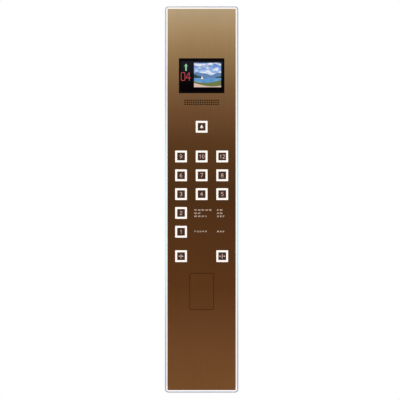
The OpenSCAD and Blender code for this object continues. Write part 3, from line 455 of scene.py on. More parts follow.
# Here u and v run from 0 to 1 across and up the picture. A hill is its tone, how far the leaves vary it, the
# softness and level of its ridge and the (rate, shift, height) of each wave. A part of the boat is its tone,
# where its two sides meet, how far they lean, and its foot and top.
scenery = {
    "sky": [(0.35, (206, 224, 244)), (0.62, (146, 184, 232)), (1.0, (92, 132, 206))],
    "puff": ((0.045, 0.02, 0.11), 5.0, 0.6), "puffEdge": (0.53, 0.09), "puffUp": (0.5, 0.12),
    "puffTone": (240, 244, 252), "leaf": ((0.35, 0.2, 0.35), 3.0),
    "farHills": [((104, 136, 180), 0.0, 0.008, 0.56, (7.1, 0.4, 0.05), (17.0, 0.0, 0.02)),
                 ((54, 74, 60), 0.9, 0.008, 0.45, (4.3, 2.2, 0.09), (23.0, 1.0, 0.012))],
    "ripple": ((0.05, 0.1, 0.9), 2.0), "rippleEdge": (0.52, 0.12), "rippleTone": (128, 182, 226),
    "lakeTone": (74, 136, 196), "lakeEdge": (0.38, 0.006),
    "boatAt": 0.3, "boatSoft": 0.006, "boatSoftUp": 0.004,
    "boat": [((240, 240, 244), 0.47, -0.35, 0.33, 0.47), ((150, 52, 44), 0.28, 1.2, 0.295, 0.325)],
    "shore": [((112, 126, 74), 0.7, 0.008, 0.25, (3.4, 0.2, -0.07)),
              ((226, 196, 182), 0.12, 0.012, 0.13, (2.9, -0.4, -0.1))],
}


def strokeMask(x, z, start, end, half):
    # 1 within half a stroke's width of the line from start to end
    (x0, z0), (x1, z1) = start, end
    length = math.hypot(x1 - x0, z1 - z0)
    ux, uz = (x1 - x0) / length, (z1 - z0) / length
    along = (x - x0) * ux + (z - z0) * uz
    across = (x - x0) * uz - (z - z0) * ux
    past = (abs(along - length / 2) - length / 2).most(0.0)
    return (past * past + across * across).below(half * half, half * 0.6)


def paintHills(finish, u, v, colour, leaf, hills):
    # each hill covers what is under its level plus height times sin(rate u + shift) of each wave
    for tone, leaves, soft, level, *waves in hills:
        for rate, shift, height in waves:
            level = (u * rate + shift).sine() * height + level
        hill = finish.shade(tone, leaf.swing(leaves) + 1.0)
        colour = finish.blend((v - level).below(0, soft), colour, hill)
    return colour


def paintScenery(finish, x, z, side, look):
    u = (x - side["left"]) / (side["right"] - side["left"])
    v = (z - side["bottom"]) / (side["top"] - side["bottom"])
    puff = finish.noise(*look["puff"]).above(*look["puffEdge"]) * v.above(*look["puffUp"])
    colour = finish.blend(puff, finish.ramp(v, look["sky"]), look["puffTone"])
    leaf = finish.noise(*look["leaf"])
    colour = paintHills(finish, u, v, colour, leaf, look["farHills"])
    ripple = finish.noise(*look["ripple"]).above(*look["rippleEdge"])
    lake = finish.blend(ripple, look["lakeTone"], look["rippleTone"])
    colour = finish.blend(v.below(*look["lakeEdge"]), colour, lake)
    for tone, meeting, lean, foot, top in look["boat"]:
        inside = (abs(u - look["boatAt"]) - (v - meeting) * lean).below(0, look["boatSoft"])
        colour = finish.blend(inside * v.between(foot, top, look["boatSoftUp"]), colour, tone)
    return paintHills(finish, u, v, colour, leaf, look["shore"])


def paintArrow(finish, x, z, colour, look):
    reach, soft = abs(x - look["x"]), look["soft"]
    head = (reach - (look["top"] - z) * look["slope"]).below(0, soft) * z.above(look["headFoot"], soft)
    shaft = reach.below(look["shaft"], soft) * z.between(look["bottom"], look["shaftTop"], soft)
    green = finish.blend(reach.below(*look["core"]), look["tone"], look["coreTone"])
    return finish.blend(head.most(shaft), colour, green)


def paintNumber(finish, x, z, colour, look):
    # a nought with cut corners and a four, in straight strokes
    left, right, low, high, cut = (look[key] for key in ("left", "right", "bottom", "top", "cut"))
    nought = [(left, low + cut), (left + cut, low), (right - cut, low), (right, low + cut),
              (right, high - cut), (right - cut, high), (left + cut, high), (left, high - cut)]
    foot, corner, crossing = look["foot"], look["second"], look["crossing"]
    strokes = [*zip(nought, nought[1:] + nought[:1]), ((foot, low), (foot, high)),
               ((foot, high), (corner, crossing)), ((corner, crossing), (look["end"], crossing))]
    masks = [strokeMask(x, z, start, end, look["stroke"] / 2) for start, end in strokes]
    mask = masks[0]
    for other in masks[1:]:
        mask = mask.most(other)
    red = finish.blend(mask.above(*look["core"]), look["tone"], look["coreTone"])
    return finish.blend(mask, colour, red)


def screenFinish(finish, look):
    x, z = finish.place("XZ")
    side = look["picture"]
    inside = x.between(side["left"], side["right"], side["soft"])
    inside = inside * z.between(side["bottom"], side["top"], side["soft"])
    grey = z.above(*look["greyFrom"]) * z.below(*look["greyUpTo"])
    colour = finish.blend(grey, look["blackTone"], look["greyTone"])
    colour = finish.blend(inside, colour, paintScenery(finish, x, z, side, scenery))
    colour = paintArrow(finish, x, z, colour, look["arrow"])
    colour = paintNumber(finish, x, z, colour, look["number"])
    perMm = look["pixelsPerMm"]
    pixels = (x * perMm).sine() * (z * perMm).sine() * look["pixelTone"] + 1.0
    lit = finish.shade(colour, pixels * look["brightness"])
    return finish.surface(look, (0, 0, 0), glow=lit)


# Window: black print round the clear field
windowLook = {
    "tone": (6, 3, 4), "frostTone": (9, 6, 7), "frost": ((0.6, 0.6, 0.6), 2.0), "frostRoughness": 0.03,
    "clearAcross": (71.5, 0.02), "clearUp": (53.0, 0.02), "roughness": 0.07, "gloss": 0.02,
}


def windowFinish(finish, look):
    x, z = finish.place("XZ")
    frost = finish.noise(*look["frost"])
    middleX, middleZ = middleOf("lcd_screen")
    clear = abs(x - middleX).below(*look["clearAcross"]) * abs(z - middleZ).below(*look["clearUp"])
    tone = finish.blend(frost, look["tone"], look["frostTone"])
    return finish.surface(look, tone, frost.swing(look["frostRoughness"]), alpha=1 - clear)


# Dust cloth: plain weave, two crossed rows of threads
cloth = {
    "tone": (10, 7, 4), "threadsPerMm": 7.0, "weaveTone": 0.3, "depth": 0.6,
    "fuzz": ((2.0, 2.0, 2.0), 2.0), "fuzzTone": 0.4, "roughness": 0.9, "gloss": 0.0,
}


def clothFinish(finish, look):
    x, z = finish.place("XZ")
    weave = (x * look["threadsPerMm"]).sine() * (z * look["threadsPerMm"]).sine()
    fuzz = finish.noise(*look["fuzz"])
    colour = finish.shade(look["tone"], weave * look["weaveTone"] + fuzz.swing(look["fuzzTone"]) + 1.0)
    return finish.surface(look, colour, height=weave)


# Cone paper: pressed pulp with rings round the cone's axis
paper = {
    "tone": (34, 33, 33), "ringsPerMm": 2.4, "ringTone": 0.08, "ringHeight": 0.5,
    "fibre": ((0.8, 0.8, 2.5), 4.0), "fibreTone": 0.5, "depth": 0.15, "roughness": 0.85,
}


def paperFinish(finish, look):
    x, z = finish.place("XZ")
    middleX, middleZ = middleOf("speaker_cone")
    radius = ((x - middleX) ** 2 + (z - middleZ) ** 2) ** 0.5
    rings = (radius * look["ringsPerMm"]).sine()
    fibre = finish.noise(*look["fibre"])
    colour = finish.shade(look["tone"], rings * look["ringTone"] + fibre.swing(look["fibreTone"]) + 1.0)
    return finish.surface(look, colour, height=rings * look["ringHeight"] + fibre)


# Lamp tape: white carrier with a yellow lamp every 8 mm
tape = {
    "tone": (232, 232, 226), "lampTone": (238, 206, 96), "rate": 0.785, "lamp": (0.7, 0.1),
    "grain": ((1.5, 1.5, 1.5), 1.0), "grainSwing": 0.1, "depth": 0.02, "glow": 0.5, "roughness": 0.5,
}


def tapeFinish(finish, look):
    x, z = finish.place("XZ")
    lampX, lampZ = ((axis * look["rate"]).sine().above(*look["lamp"]) for axis in (x, z))
    grain = finish.noise(*look["grain"])
    colour = finish.blend(lampX.most(lampZ), look["tone"], look["lampTone"])
    lit = finish.shade(colour, grain.swing(look["grainSwing"]) + look["glow"])
    return finish.surface(look, colour, grain.swing(look["grainSwing"]), grain, lit)


makers = {
    "bronze_sheet": (bronzeFinish, bronze), "key_bronze": (keyFinish, keyLook),
    "rim_metal": (rimFinish, rim), "opal_guide": (opalFinish, guideLook), "lamp_strip": (tapeFinish, tape),
    "window_acrylic": (windowFinish, windowLook), "screen_glass": (screenFinish, screen),
    "sheet_steel": (zincFinish, zinc), "black_cloth": (clothFinish, cloth),
    "cone_paper": (paperFinish, paper),
    **{name: (mouldedFinish, moulded, *row) for name, row in mouldedRows.items()},
    **{name: (platedFinish, plating, *row) for name, row in platedRows.items()},
}
finishes = {name: make(newFinish(name), *look) for name, (make, *look) in makers.items()}
print("finishes made:", len(finishes))


def dress(node, material):
    slots = nodes[node].data.materials
    for index in range(len(slots)):
        slots[index] = material
    if not slots:
        slots.append(material)


dressed = {
    "bronze_sheet": ["faceplate"],
    "sheet_steel": ["back_box", "wall_flange", "lcd_frame"],
    # coats dark enough to paint the shade seen through the gap round the service door
    "black_coat_and_shade": ["service_box", "door_pan"],
    "dark_coat_and_shade": ["switch_plate"],
    "zinc_steel": ["corner_cleats", "weld_studs", "stud_nuts", "hanging_hooks", "lock_screws",
                   "display_clamps", "hinge_arms", "hinge_bracket", "hinge_pins"],
    "chrome_metal": ["key_switch_body", "key_barrel", "latch_plunger"],
    "brass_metal": ["board_standoffs"],
    "black_metal": ["speaker_basket"],
    "black_plastic": ["button_bodies", "button_switches", "rocker_frames", "rocker_left", "rocker_middle",
                      "rocker_right", "latch_body"],
    "silicone": ["return_pads"],
    "black_rubber": ["cable_trim", "microphone"],
    "black_cloth": ["grille_cloth"],
    "cone_paper": ["speaker_cone"],
    "lamp_strip": ["lamp_strips"],
    "screen_glass": ["lcd_screen"],
}
for finishName, names in dressed.items():
    for name in names:
        dress(name, finishes[finishName])

# Circuit boards: green resist over copper tracks, with what stands on each board in its own tone. The sheet
# lies at the front or the back of its node, or from a depth of its own.
boards = {
    "control_board": ("back", (60, 92, 150)),
    "display_board": ("front", (40, 42, 46)),
    "button_boards": (7.0, (226, 222, 206)),
}
board = {
    "thickness": 1.6, "play": 0.02, "soft": 0.01,
    "resistTone": (18, 78, 48), "trackTone": (44, 118, 74), "padTone": (196, 168, 96),
    "run": ((0.11, 0.11, 0.11), 1.0), "trackRate": 0.9, "bendX": 9, "bendZ": 7, "track": (0.18, 0.05),
    "trackShare": 0.55, "padRate": 2.47, "pad": (0.86, 0.05), "padGloss": 0.5, "roughness": 0.42,
    "speck": ((3.0, 3.0, 3.0), 2.0), "speckTone": 0.2, "speckHeight": 0.2, "depth": 0.02,
}


def boardFront(node, side, thickness):
    low, high = [end[1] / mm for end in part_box(node)]
    return {"front": low, "back": high - thickness}.get(side, side)


def boardFinish(finish, front, partsTone, look):
    x, y, z = finish.place("XYZ")
    run = finish.noise(*look["run"])
    waveX = (x * look["trackRate"] + run * look["bendX"]).sine()
    waveZ = (z * look["trackRate"] - run * look["bendZ"]).sine()
    tracks = (waveX * waveZ).above(*look["track"])
    padX, padZ = ((axis * look["padRate"]).sine().above(*look["pad"]) for axis in (x, z))
    pads = padX * padZ
    colour = finish.blend(tracks * look["trackShare"], look["resistTone"], look["trackTone"])
    colour = finish.blend(pads, colour, look["padTone"])
    onBoard = y.between(front - look["play"], front + look["thickness"] + look["play"], look["soft"])
    speck = finish.noise(*look["speck"])
    parts = finish.shade(partsTone, speck.swing(look["speckTone"]) + 1.0)
    colour = finish.blend(onBoard, parts, colour)
    metal = pads * onBoard
    look = {**look, "roughness": (1 - metal * look["padGloss"]) * look["roughness"], "metal": metal}
    return finish.surface(look, colour, height=tracks + speck * look["speckHeight"])


for node, (side, partsTone) in boards.items():
    front = boardFront(node, side, board["thickness"])
    dress(node, boardFinish(newFinish(node + "_finish"), front, partsTone, board))
print("CAD nodes dressed")


# Meshes: a part is its points in mm, their UV places in mm, and its faces
def gridPart(points, uv=None):
    # quads between neighbouring rows and columns of a grid of points
    rows, columns = points.shape[:2]
    first = (np.arange(rows - 1)[:, None] * columns + np.arange(columns - 1)).ravel()
    faces = np.stack([first, first + 1, first + columns + 1, first + columns], axis=1)
    places = np.zeros((rows * columns, 2)) if uv is None else uv.reshape(-1, 2)
    return points.reshape(-1, 3), places, faces.tolist()


def closedPart(grid, uv=None):
    # each row is a ring that ends where it starts, and the first and last rows get a flat face
    rows, columns = grid.shape[:2]
    end = np.arange(columns - 1)
    points, places, faces = gridPart(grid, uv)
    return points, places, faces + [end.tolist(), ((rows - 1) * columns + end).tolist()]


def joined(parts):
    points, places, faceLists = zip(*parts)
    starts = np.cumsum([0] + [len(each) for each in points]).tolist()
    faces = [[index + start for index in face] for start, each in zip(starts, faceLists) for face in each]
    return np.concatenate(points), np.concatenate(places), faces


# Points within this distance become one, and an edge bent by more than these degrees stays sharp
mergeWithin = 0.002
crease = 32


def makePiece(name, part, finish, body, standsFor=(), slot=None):
    # slot is not used: it is worked out as the name of the finish where none is given, and the piece is not
    # given it
    slot = slot or finish
    points, places, faces = part
    mesh = bpy.data.meshes.new(name)
    mesh.from_pydata((points * mm).tolist(), [], faces)
    corners = np.zeros(len(mesh.loops), np.int32)
    mesh.loops.foreach_get("vertex_index", corners)
    places = (places[corners] * mm).astype(np.float32)
    mesh.uv_layers.new(name="UVMap").uv.foreach_set("vector", places.ravel())
    shape = bmesh.new()
    shape.from_mesh(mesh)
    bmesh.ops.remove_doubles(shape, verts=shape.verts, dist=mergeWithin * mm)
    bmesh.ops.recalc_face_normals(shape, faces=shape.faces)
    shape.to_mesh(mesh)
    shape.free()
    mesh.polygons.foreach_set("use_smooth", np.ones(len(mesh.polygons), bool))
    mesh.set_sharp_from_angle(angle=math.radians(crease))
    mesh.materials.append(finishes[finish])
    piece = bpy.data.objects.new(name, mesh)
    bpy.context.scene.collection.objects.link(piece)
    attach(piece, body)
    if standsFor:
        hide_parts(*standsFor)


def softened(points, reach, steps=3):
    # each corner of a closed outline becomes (1 - t)^2 a + 2 t (1 - t) corner + t^2 b, where a and b lie
    # reach away from it
    points = np.array(points, float)
    reach = np.broadcast_to(np.array(reach, float), len(points))[:, None]
    before, after = np.roll(points, 1, axis=0) - points, np.roll(points, -1, axis=0) - points
    a = points + before / np.linalg.norm(before, axis=1)[:, None] * reach
    b = points + after / np.linalg.norm(after, axis=1)[:, None] * reach
    t = np.linspace(0, 1, steps + 1)[None, :, None]
    bends = (1 - t) ** 2 * a[:, None] + 2 * t * (1 - t) * points[:, None] + t ** 2 * b[:, None]
    return bends.reshape(-1, 2)


def loopBack(values, axis=0):
    return np.concatenate([values, np.take(values, [0], axis=axis)], axis=axis)


# Frame: each rail is its section carried from one mitre to the other
panelLow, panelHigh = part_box("left_rail")[0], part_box("right_rail")[1]
panelWidth = (panelHigh[0] - panelLow[0]) / mm
panelHeight = (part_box("top_rail")[1][2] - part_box("bottom_rail")[0][2]) / mm
rail = {
    "corner": 13, "arcSteps": 10, "shrink": 0.1, "joint": 0.05,
    "section": [(0, -15), (4.5, -15), (4.5, -10), (9.5, -10), (9.5, -12), (21, -12), (21, -9.5), (12, -9.5),
                (12, -7.5), (4.5, -7.5), (4.5, -6), (2, -6), (2, -2), (4.5, -2), (4.5, 0), (0, 0)],
    "soften": [0.9, 0.5] + [0.25] * 13 + [0.5],
}
guide = {"outer": 4.55, "inner": 9.45, "front": -14.6, "back": -10.6, "crown": 0.3, "crownSteps": 8,
         "corner": 10}
sides = {"right": 0, "top": 90, "left": 180, "bottom": 270}


def alongSide(facing, section, look):
    # a point u inside the outline is at c + max(r - u, 0) d - max(u - r, 0) g, where c is the centre of the
    # corner's arc, d the direction there and g the corner's diagonal; the first and last rows are the mitres
    half = np.array([panelWidth, panelHeight]) / 2 - look["shrink"]
    radius = look["corner"]
    swing = np.linspace(45, 0, look["arcSteps"] + 1)
    angles = np.radians(facing + np.concatenate([swing, -swing[::-1]]))
    corner = np.radians(facing + np.repeat([45, -45], len(swing)))
    direction = np.stack([np.cos(angles), np.sin(angles)], axis=1)
    diagonal = np.sign(np.stack([np.cos(corner), np.sin(corner)], axis=1))
    centre = diagonal * (half - radius)
    u, y = section[:, 0], section[:, 1]
    flat = centre[:, None] + np.maximum(radius - u, 0)[None, :, None] * direction[:, None]
    flat = flat - np.maximum(u - radius, 0)[None, :, None] * diagonal[:, None]
    flat = flat + look["joint"] * direction[len(swing)]
    depth = np.broadcast_to(y, flat.shape[:2])
    points = np.stack([flat[..., 0], depth, flat[..., 1]], axis=-1)
    outer = np.linalg.norm(np.diff(flat[:, 0], axis=0), axis=1)
    run = np.concatenate([[0], np.cumsum(outer)])
    around = np.concatenate([[0], np.cumsum(np.linalg.norm(np.diff(section, axis=0), axis=1))])
    return closedPart(points, np.stack(np.broadcast_arrays(run[:, None], around[None, :]), axis=-1))


def guideSection(look):
    # a shallow crown: the front lies crown (2 t - 1)^2 further back, with t from 0 to 1 across the strip
    t = np.linspace(0, 1, look["crownSteps"] + 1)
    crowned = np.stack([look["outer"] + (look["inner"] - look["outer"]) * t,
                        look["front"] + look["crown"] * (2 * t - 1) ** 2], axis=1)
    corners = [[look["outer"], look["back"]]], [[look["inner"], look["back"]]]
    return loopBack(np.concatenate([corners[0], crowned, corners[1]]))


railSection = loopBack(softened(rail["section"], rail["soften"]))
for side, facing in sides.items():
    makePiece(side + "_rail_extrusion", alongSide(facing, railSection, rail), "rim_metal", "root",
              [side + "_rail"])
guideRun = {**rail, "corner": guide["corner"]}
guides = joined([alongSide(facing, guideSection(guide), guideRun) for facing in sides.values()])
makePiece("light_guide_strips", guides, "opal_guide", "root", ["light_guides"])
print("frame made")


# Lofts: rings of rounded rectangles, stacked front to back
def ringPoints(sections, steps=4):
    # sections are (y, half width, half height, corner radius): each corner's centre plus r (cos, sin)
    y, halfW, halfH, radius = np.array(sections, float).T[:, :, None]
    quarter = np.linspace(0, 90, steps + 1)
    angle = np.radians(np.concatenate([quarter + turn for turn in (0, 90, 180, 270)]))[None]
    signX = np.repeat([1, -1, -1, 1], steps + 1)[None]
    signZ = np.repeat([1, 1, -1, -1], steps + 1)[None]
    x = signX * (halfW - radius) + radius * np.cos(angle)
    z = signZ * (halfH - radius) + radius * np.sin(angle)
    return np.stack([x, np.broadcast_to(y, x.shape), z], axis=-1)


def loft(sections, at=(0, 0), endless=False, steps=4):
    # UV is (x, z) from the loft's own axis
    rings = loopBack(ringPoints(sections, steps), axis=1)
    rings = loopBack(rings) if endless else rings
    make = gridPart if endless else closedPart
    return make(rings + np.array([at[0], 0, at[1]]), rings[..., ::2])


def rolledEdge(edge, steps=4):
    # (how far back, how far in) along a quarter of a circle, from the face to the side
    swing = np.radians(np.linspace(0, 90, steps + 1))
    return np.stack([edge * (1 - np.cos(swing)), edge * (1 - np.sin(swing))], axis=1)


# Button surrounds: a white tile whose front rolls over at both edges, with its neck behind
surround = {
    "profile": [(20, -14), (20, -15.6), (13.1, -15.6), (13.1, -6), (16.9, -6), (16.9, -14)],
    "soften": [0.15, 0.6, 0.5, 0.3, 0.3, 0.15], "corner": 1.2, "neckCorner": 0.9, "neckWithin": 18,
}
keyBodies = [body for body in frame["bodies"] if body.startswith("key_") and body != "key_barrel"]


def surroundPart(at, look):
    sections = [(y, half, half, look["corner"] if half > look["neckWithin"] else look["neckCorner"])
                for half, y in softened(look["profile"], look["soften"], steps=4)]
    return loft(sections, at, endless=True, steps=3)


surrounds = joined([surroundPart(middleOf(body), surround) for body in keyBodies])
makePiece("button_surrounds", surrounds, "white_plastic", "root", ["button_halos"])


# Keys: a plate with a rolled edge, and the hollow plunger with its flange, boss and stem. The plunger is
# square and the stem round, both as (y, half size); the play keeps the points of neighbouring corners apart.
key = {
    "half": 12.8, "corner": 0.8, "edge": 0.4, "face": -16.05, "plateBack": -14.9, "innerCorner": 0.5,
    "plunger": [(-14.9, 12.7), (-5.9, 12.7), (-5.9, 14.6), (-3.9, 14.6), (-3.9, 10.7), (-12.9, 10.7)],
    "stem": [(-12.9, 5.5), (-3.9, 5.5), (-3.9, 2.0), (2.3, 2.0), (2.5, 1.8)], "play": 0.01,
}


def keyPart(at, look):
    half, corner, face = look["half"], look["corner"], look["face"]
    sections = [(face + back, half - i, half - i, corner) for back, i in rolledEdge(look["edge"])]
    sections.append((look["plateBack"], half, half, corner))
    sections += [(y, size, size, look["innerCorner"]) for y, size in look["plunger"]]
    sections += [(y, radius, radius, radius - look["play"]) for y, radius in look["stem"]]
    return loft(sections, at, steps=5)


for body in keyBodies:
    makePiece(body + "_cap", keyPart(middleOf(body), key), "key_bronze", body, [body])
print("buttons made:", len(keyBodies))


# Service door: the flush plate, with its edge rolled over a little
door = {"front": -14, "back": -12, "corner": 4.5, "edge": 0.35}


def doorPart(look):
    halfW, halfH = halfSizeOf("service_door")
    front, corner = look["front"], look["corner"]
    sections = [(front + back, halfW - i, halfH - i, corner - i) for back, i in rolledEdge(look["edge"])]
    sections.append((look["back"], halfW, halfH, corner))
    return loft(sections, middleOf("service_door"), steps=8)


makePiece("service_door_plate", doorPart(door), "bronze_sheet", "service_door", ["service_door"])


# Display window: a stepped acrylic plate with a polished edge
window = {"front": -14, "step": -12, "back": -10.06, "lip": 5.1, "corner": 1, "edge": 0.5}


def windowPart(look):
    halfW, halfH = halfSizeOf("display_window")
    lip, edge, corner = look["lip"], look["edge"], look["corner"]
    polished = [(look["front"], edge), (look["front"] + edge, 0), (look["step"], 0)]
    sections = [(y, halfW - lip - i, halfH - lip - i, corner - i / 2) for y, i in polished]
    sections += [(look["step"], halfW, halfH, corner), (look["back"], halfW, halfH, corner)]
    return loft(sections, middleOf("display_window"), steps=5)


makePiece("display_window_plate", windowPart(window), "window_acrylic", "root", ["display_window"])


# Numerals and signs: each stroke is a ribbon with round ends, along lines and arcs drawn for a height of 1
def arc(centre, radii, start, end, steps=14):
    # centre plus radii times (cos, sin), from one angle to the other in degrees
    angle = np.radians(np.linspace(start, end, steps))
    return np.stack([centre[0] + radii[0] * np.cos(angle), centre[1] + radii[1] * np.sin(angle)], axis=1)


def line(*points):
    return np.array(points, float)


strokesOf = {
    "0": [arc((0, 0), (0.3, 0.5), 90, 450, 28)],
    "1": [line((-0.17, 0.3), (0.04, 0.5)), line((0.04, 0.5), (0.04, -0.5))],
    "2": [np.concatenate([arc((0, 0.21), (0.29, 0.29), 165, -25), line((-0.29, -0.5))]),
          line((-0.29, -0.5), (0.31, -0.5))],
    "3": [arc((-0.02, 0.25), (0.26, 0.25), 150, -90), arc((-0.02, -0.25), (0.31, 0.25), 90, -150)],
    "4": [line((0.12, 0.5), (-0.33, -0.18)), line((-0.33, -0.18), (0.34, -0.18)),
          line((0.12, 0.5), (0.12, -0.5))],
    "5": [line((0.26, 0.5), (-0.2, 0.5)), line((-0.2, 0.5), (-0.25, 0.04)),
          arc((0, -0.18), (0.31, 0.32), 143, -145)],
    "6": [arc((0, -0.2), (0.3, 0.3), 0, 360, 24), arc((0.31, -0.2), (0.61, 0.7), 100, 180)],
    "7": [line((-0.3, 0.5), (0.31, 0.5)), line((0.31, 0.5), (-0.1, -0.5))],
    "8": [arc((0, 0.26), (0.24, 0.24), 0, 360, 22), arc((0, -0.24), (0.3, 0.26), 0, 360, 24)],
    "9": [arc((0, 0.2), (0.3, 0.3), 0, 360, 24), arc((-0.31, 0.2), (0.61, 0.7), -80, 0)],
}
numeral = {"height": 12.2, "stroke": 1.08, "pitch": 10.4, "rise": 0.05, "sink": 0.15, "lift": 0.006}
smallNumeral = {"height": 4.2, "stroke": 0.75, "pitch": 3.1, "rise": 0.04, "sink": 0.1, "lift": 0.006}


def ribbon(path, look, lift=0.0):
    # half the width times (cos, sin) closes each end with half a circle; elsewhere the width is even, and the
    # section has sloping shoulders; the lift keeps the tops of crossing strokes apart
    half = look["stroke"] / 2
    shoulder = look["rise"] * 0.4
    step = np.gradient(path, axis=0)
    tangent = step / np.linalg.norm(step, axis=1)[:, None]
    swing = np.radians(np.linspace(0, 90, 4))
    startAt = path[0] - tangent[0] * half * np.cos(swing)[:, None]
    endAt = path[-1] + tangent[-1] * half * np.cos(swing[::-1])[:, None]
    centre = np.concatenate([startAt, path[1:-1], endAt])
    startTangent, endTangent = (np.repeat(tangent[[end]], len(swing), axis=0) for end in (0, -1))
    heading = np.concatenate([startTangent, tangent[1:-1], endTangent])
    width = np.concatenate([np.sin(swing), np.ones(len(path) - 2), np.sin(swing[::-1])]) * half
    normal = np.stack([-heading[:, 1], heading[:, 0]], axis=1)
    section = np.array([(-1, -look["sink"]), (-1, shoulder), (-0.9, look["rise"]), (0.9, look["rise"]),
                        (1, shoulder), (1, -look["sink"]), (-1, -look["sink"])])
    flat = centre[:, None] + normal[:, None] * (width[:, None] * section[None, :, 0])[..., None]
    height = np.broadcast_to(section[:, 1] - lift * (section[:, 1] > 0), flat.shape[:2])
    return gridPart(np.concatenate([flat, height[..., None]], axis=-1))


def setOn(part, origin, across=(1, 0, 0), up=(0, 0, 1)):
    # (s, t, h) becomes origin + s across + t up + h out, and out is the cross product of the first two
    points, places, faces = part
    basis = np.array([across, up, np.cross(across, up)], float)
    return np.array(origin) + points @ basis, places, faces


def written(text, look):
    # a row of numerals, centred
    parts = []
    offsets = (np.arange(len(text)) - (len(text) - 1) / 2) * look["pitch"]
    for offset, sign in zip(offsets, text):
        if sign == " ":
            continue
        for order, path in enumerate(strokesOf[sign]):
            parts.append(ribbon(path * look["height"] + np.array([offset, 0]), look, look["lift"] * order))
    return joined(parts)


def plateShape(levels, halfWidths, look):
    # a filled flat sign: half its width at each level, mirrored, with a thin edge
    section = np.array([(-1, -look["sink"]), (-1, look["rise"]), (1, look["rise"]), (1, -look["sink"]),
                        (-1, -look["sink"])])
    s = halfWidths[:, None] * section[None, :, 0]
    t = np.broadcast_to(levels[:, None], s.shape)
    h = np.broadcast_to(section[:, 1], s.shape)
    return closedPart(np.stack([s, t, h], axis=-1))


def turnedBy(part, degrees, shift=(0, 0)):
    points, places, faces = part
    c, s = math.cos(math.radians(degrees)), math.sin(math.radians(degrees))
    turn = np.array([(c, s, 0), (-s, c, 0), (0, 0, 1)])
    return points @ turn + np.array([*shift, 0]), places, faces


tipWidth = 0.02
bell = {
    "foot": -3.6, "height": 9.0, "dome": 3.9, "domePower": 2.6, "flare": 2.0, "flareFade": 0.16,
    "clapper": 1.2, "clapperGap": 0.1, "crown": 0.9,
}


def disc(height, radius, look):
    s = np.linspace(-1, 1, 13)
    return plateShape(height + radius * s, np.maximum(radius * np.sqrt(1 - s ** 2), tipWidth), look)


def bellSign(shape, look):
    # the half width is a rounded dome plus a flare that dies away above the rim
    t = np.linspace(0, 1, 22)
    dome = shape["dome"] * np.sqrt(np.clip(1 - t ** shape["domePower"], 0, 1))
    flare = shape["flare"] * np.exp(-t / shape["flareFade"]) * (1 - t)
    body = plateShape(shape["foot"] + shape["height"] * t, np.maximum(dome + flare, tipWidth), look)
    clapper = disc(shape["foot"] - shape["clapper"] - shape["clapperGap"], shape["clapper"], look)
    crown = disc(shape["foot"] + shape["height"], shape["crown"], look)
    return joined([body, clapper, crown])


doorMark = {"bar": 6.9, "stroke": 1.6, "near": 3.1, "far": 8.8, "half": 2.2, "tip": 0.15, "tipFrom": 0.98}


def arrowHead(shape, look):
    # a triangle with a blunt tip
    levels = np.array([0, shape["tipFrom"], 1]) * (shape["far"] - shape["near"])
    return plateShape(levels, np.array([shape["half"], shape["tip"], tipWidth]), look)


def doorSign(outwards, shape, look):
    # two arrow heads beside a bar: they point away from it to open, and to it to close
    bar = ribbon(line((0, -shape["bar"]), (0, shape["bar"])), {**look, "stroke": shape["stroke"]})
    turn, start = (-90, shape["near"]) if outwards else (90, shape["far"])
    right = turnedBy(arrowHead(shape, look), turn, (start, 0))
    left = turnedBy(arrowHead(shape, look), -turn, (-start, 0))
    return joined([bar, right, left])


for body in keyBodies:
    label = body.removeprefix("key_")
    finish = "bell_white" if label == "alarm" else "sign_white"
    if label == "alarm":
        sign = bellSign(bell, numeral)
    elif label in ("open", "close"):
        sign = doorSign(label == "open", doorMark, numeral)
    else:
        sign = written(label, numeral)
    x, z = middleOf(body)
    makePiece(label + "_sign", setOn(sign, (x, key["face"], z)), finish, body, slot="white_plastic")


# Small printed rows of plain numbers beside the lowest keys: (left edge, height, text)
printed = {
    "face": -14,
    "rows": [(-26, -36, "101 102 103 104 105"), (-26, -47, "106 107"), (-26, -57.5, "108 109 110 11"),
             (52, -36, "21 222"), (52, -47, "23 224"), (52, -57.5, "25 26 27"),
             (-26, -109, "11 12 13 14 15"), (52, -109, "28 29 30")],
}
rows = []
for left, height, text in printed["rows"]:
    middle = left + smallNumeral["pitch"] * len(text) / 2
    rows.append(setOn(written(text, smallNumeral), (middle, printed["face"], height)))
makePiece("printed_rows", joined(rows), "print_pale", "root", slot="white_plastic")


# Rocker marks: a bar on the upper half of each rocker and a ring on the lower half
rocker = {
    "axisY": 20, "reach": 5.5, "dip": 3.6, "half": 7.8, "tilt": -10,
    "mark": 3.4, "stroke": 0.7, "rise": 0.04, "sink": 0.1,
}


def rockerMarks(name, look):
    # worked out in (y, z) round the rocker's own axis, and then turned by its tilt
    x, z = middleOf(name)[0], middleOf("rocker_frames")[1]
    c, s = math.cos(math.radians(look["tilt"])), math.sin(math.radians(look["tilt"]))
    turn = np.array([(c, s), (-s, c)])
    parts = []
    for end, path in ((1, line((0, -0.5), (0, 0.5))), (-1, arc((0, 0), (0.5, 0.5), 0, 360, 20))):
        outer, inner = np.array([-look["reach"], end * look["half"]]), np.array([-look["dip"], 0.0])
        middle = (outer + inner) / 2 @ turn
        up = (outer - inner) * end / np.linalg.norm(outer - inner) @ turn
        mark = ribbon(path * look["mark"], look)
        parts.append(setOn(mark, (x, look["axisY"] + middle[0], z + middle[1]), up=(0, *up)))
    return joined(parts)


for name in ("rocker_left", "rocker_middle", "rocker_right"):
    makePiece(name + "_marks", rockerMarks(name, rocker), "sign_white", name, slot="white_plastic")
print("numerals, signs and marks made")


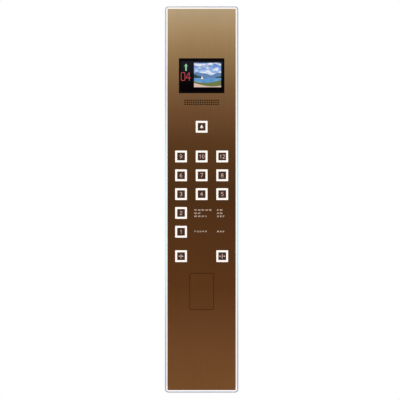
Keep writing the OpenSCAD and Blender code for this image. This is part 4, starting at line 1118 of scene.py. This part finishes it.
# Studio: a pale floor just under the panel, an even white surround and three soft lamps, each with its name,
# place, width and power
studio = {
    "floorZ": -660, "floorSize": 9000, "floorTone": (236, 236, 236), "whiteShare": 0.6,
    "cloud": ((0.002, 0.002, 0.002), 1.0), "cloudTone": 0.01, "surroundLight": 0.7,
    "lamps": [("key_lamp", (-1500, -2600, 1700), 1700, 28), ("fill_lamp", (1900, -1900, 300), 1800, 9),
              ("back_lamp", (700, 2300, 1500), 1800, 22)],
}


def rayShare(finish):
    # 1 where the camera, a reflection or a clear piece sees the surface, 0 for the light that it gives
    path = finish.node("LightPath")
    share = finish.value(path, "Is Camera Ray").most(finish.value(path, "Is Glossy Ray"))
    return share.most(finish.value(path, "Is Transmission Ray"))


def makeStudio(look):
    size, height = look["floorSize"] * mm / 2, look["floorZ"] * mm
    corners = [(-size, -size, height), (size, -size, height), (size, size, height), (-size, size, height)]
    mesh = bpy.data.meshes.new("floor")
    mesh.from_pydata(corners, [], [(0, 1, 2, 3)])
    floor = bpy.data.objects.new("floor", mesh)
    bpy.context.scene.collection.objects.link(floor)
    finish = newFinish("floor_finish")
    cloud = finish.noise(*look["cloud"])
    tone = finish.shade(look["floorTone"], cloud.swing(look["cloudTone"]) + 1.0)
    shaded = finish.node("BsdfDiffuse", {"Color": tone})
    white = finish.node("Emission", {"Color": (1, 1, 1, 1), "Strength": 1.0})
    inputs = {0: rayShare(finish) * look["whiteShare"], 1: shaded.outputs[0], 2: white.outputs[0]}
    mixed = finish.node("MixShader", inputs)
    finish.node("OutputMaterial", {"Surface": mixed.outputs[0]})
    mesh.materials.append(finish.owner)

    world = bpy.data.worlds.new("surround")
    bpy.context.scene.world = world
    sky = Finish(world)
    strength = rayShare(sky) * (1 - look["surroundLight"]) + look["surroundLight"]
    glow = sky.node("Background", {"Color": (1, 1, 1, 1), "Strength": strength})
    sky.node("OutputWorld", {"Surface": glow.outputs[0]})

    for name, place, width, power in look["lamps"]:
        lamp = bpy.data.lights.new(name, "AREA")
        lamp.size = width * mm
        lamp.energy = power
        holder = bpy.data.objects.new(name, lamp)
        holder.location = [value * mm for value in place]
        holder.rotation_euler = (-holder.location).to_track_quat("-Z", "Y").to_euler()
        bpy.context.scene.collection.objects.link(holder)


makeStudio(studio)
bpy.context.scene.view_settings.view_transform = "Standard"
print("studio made")
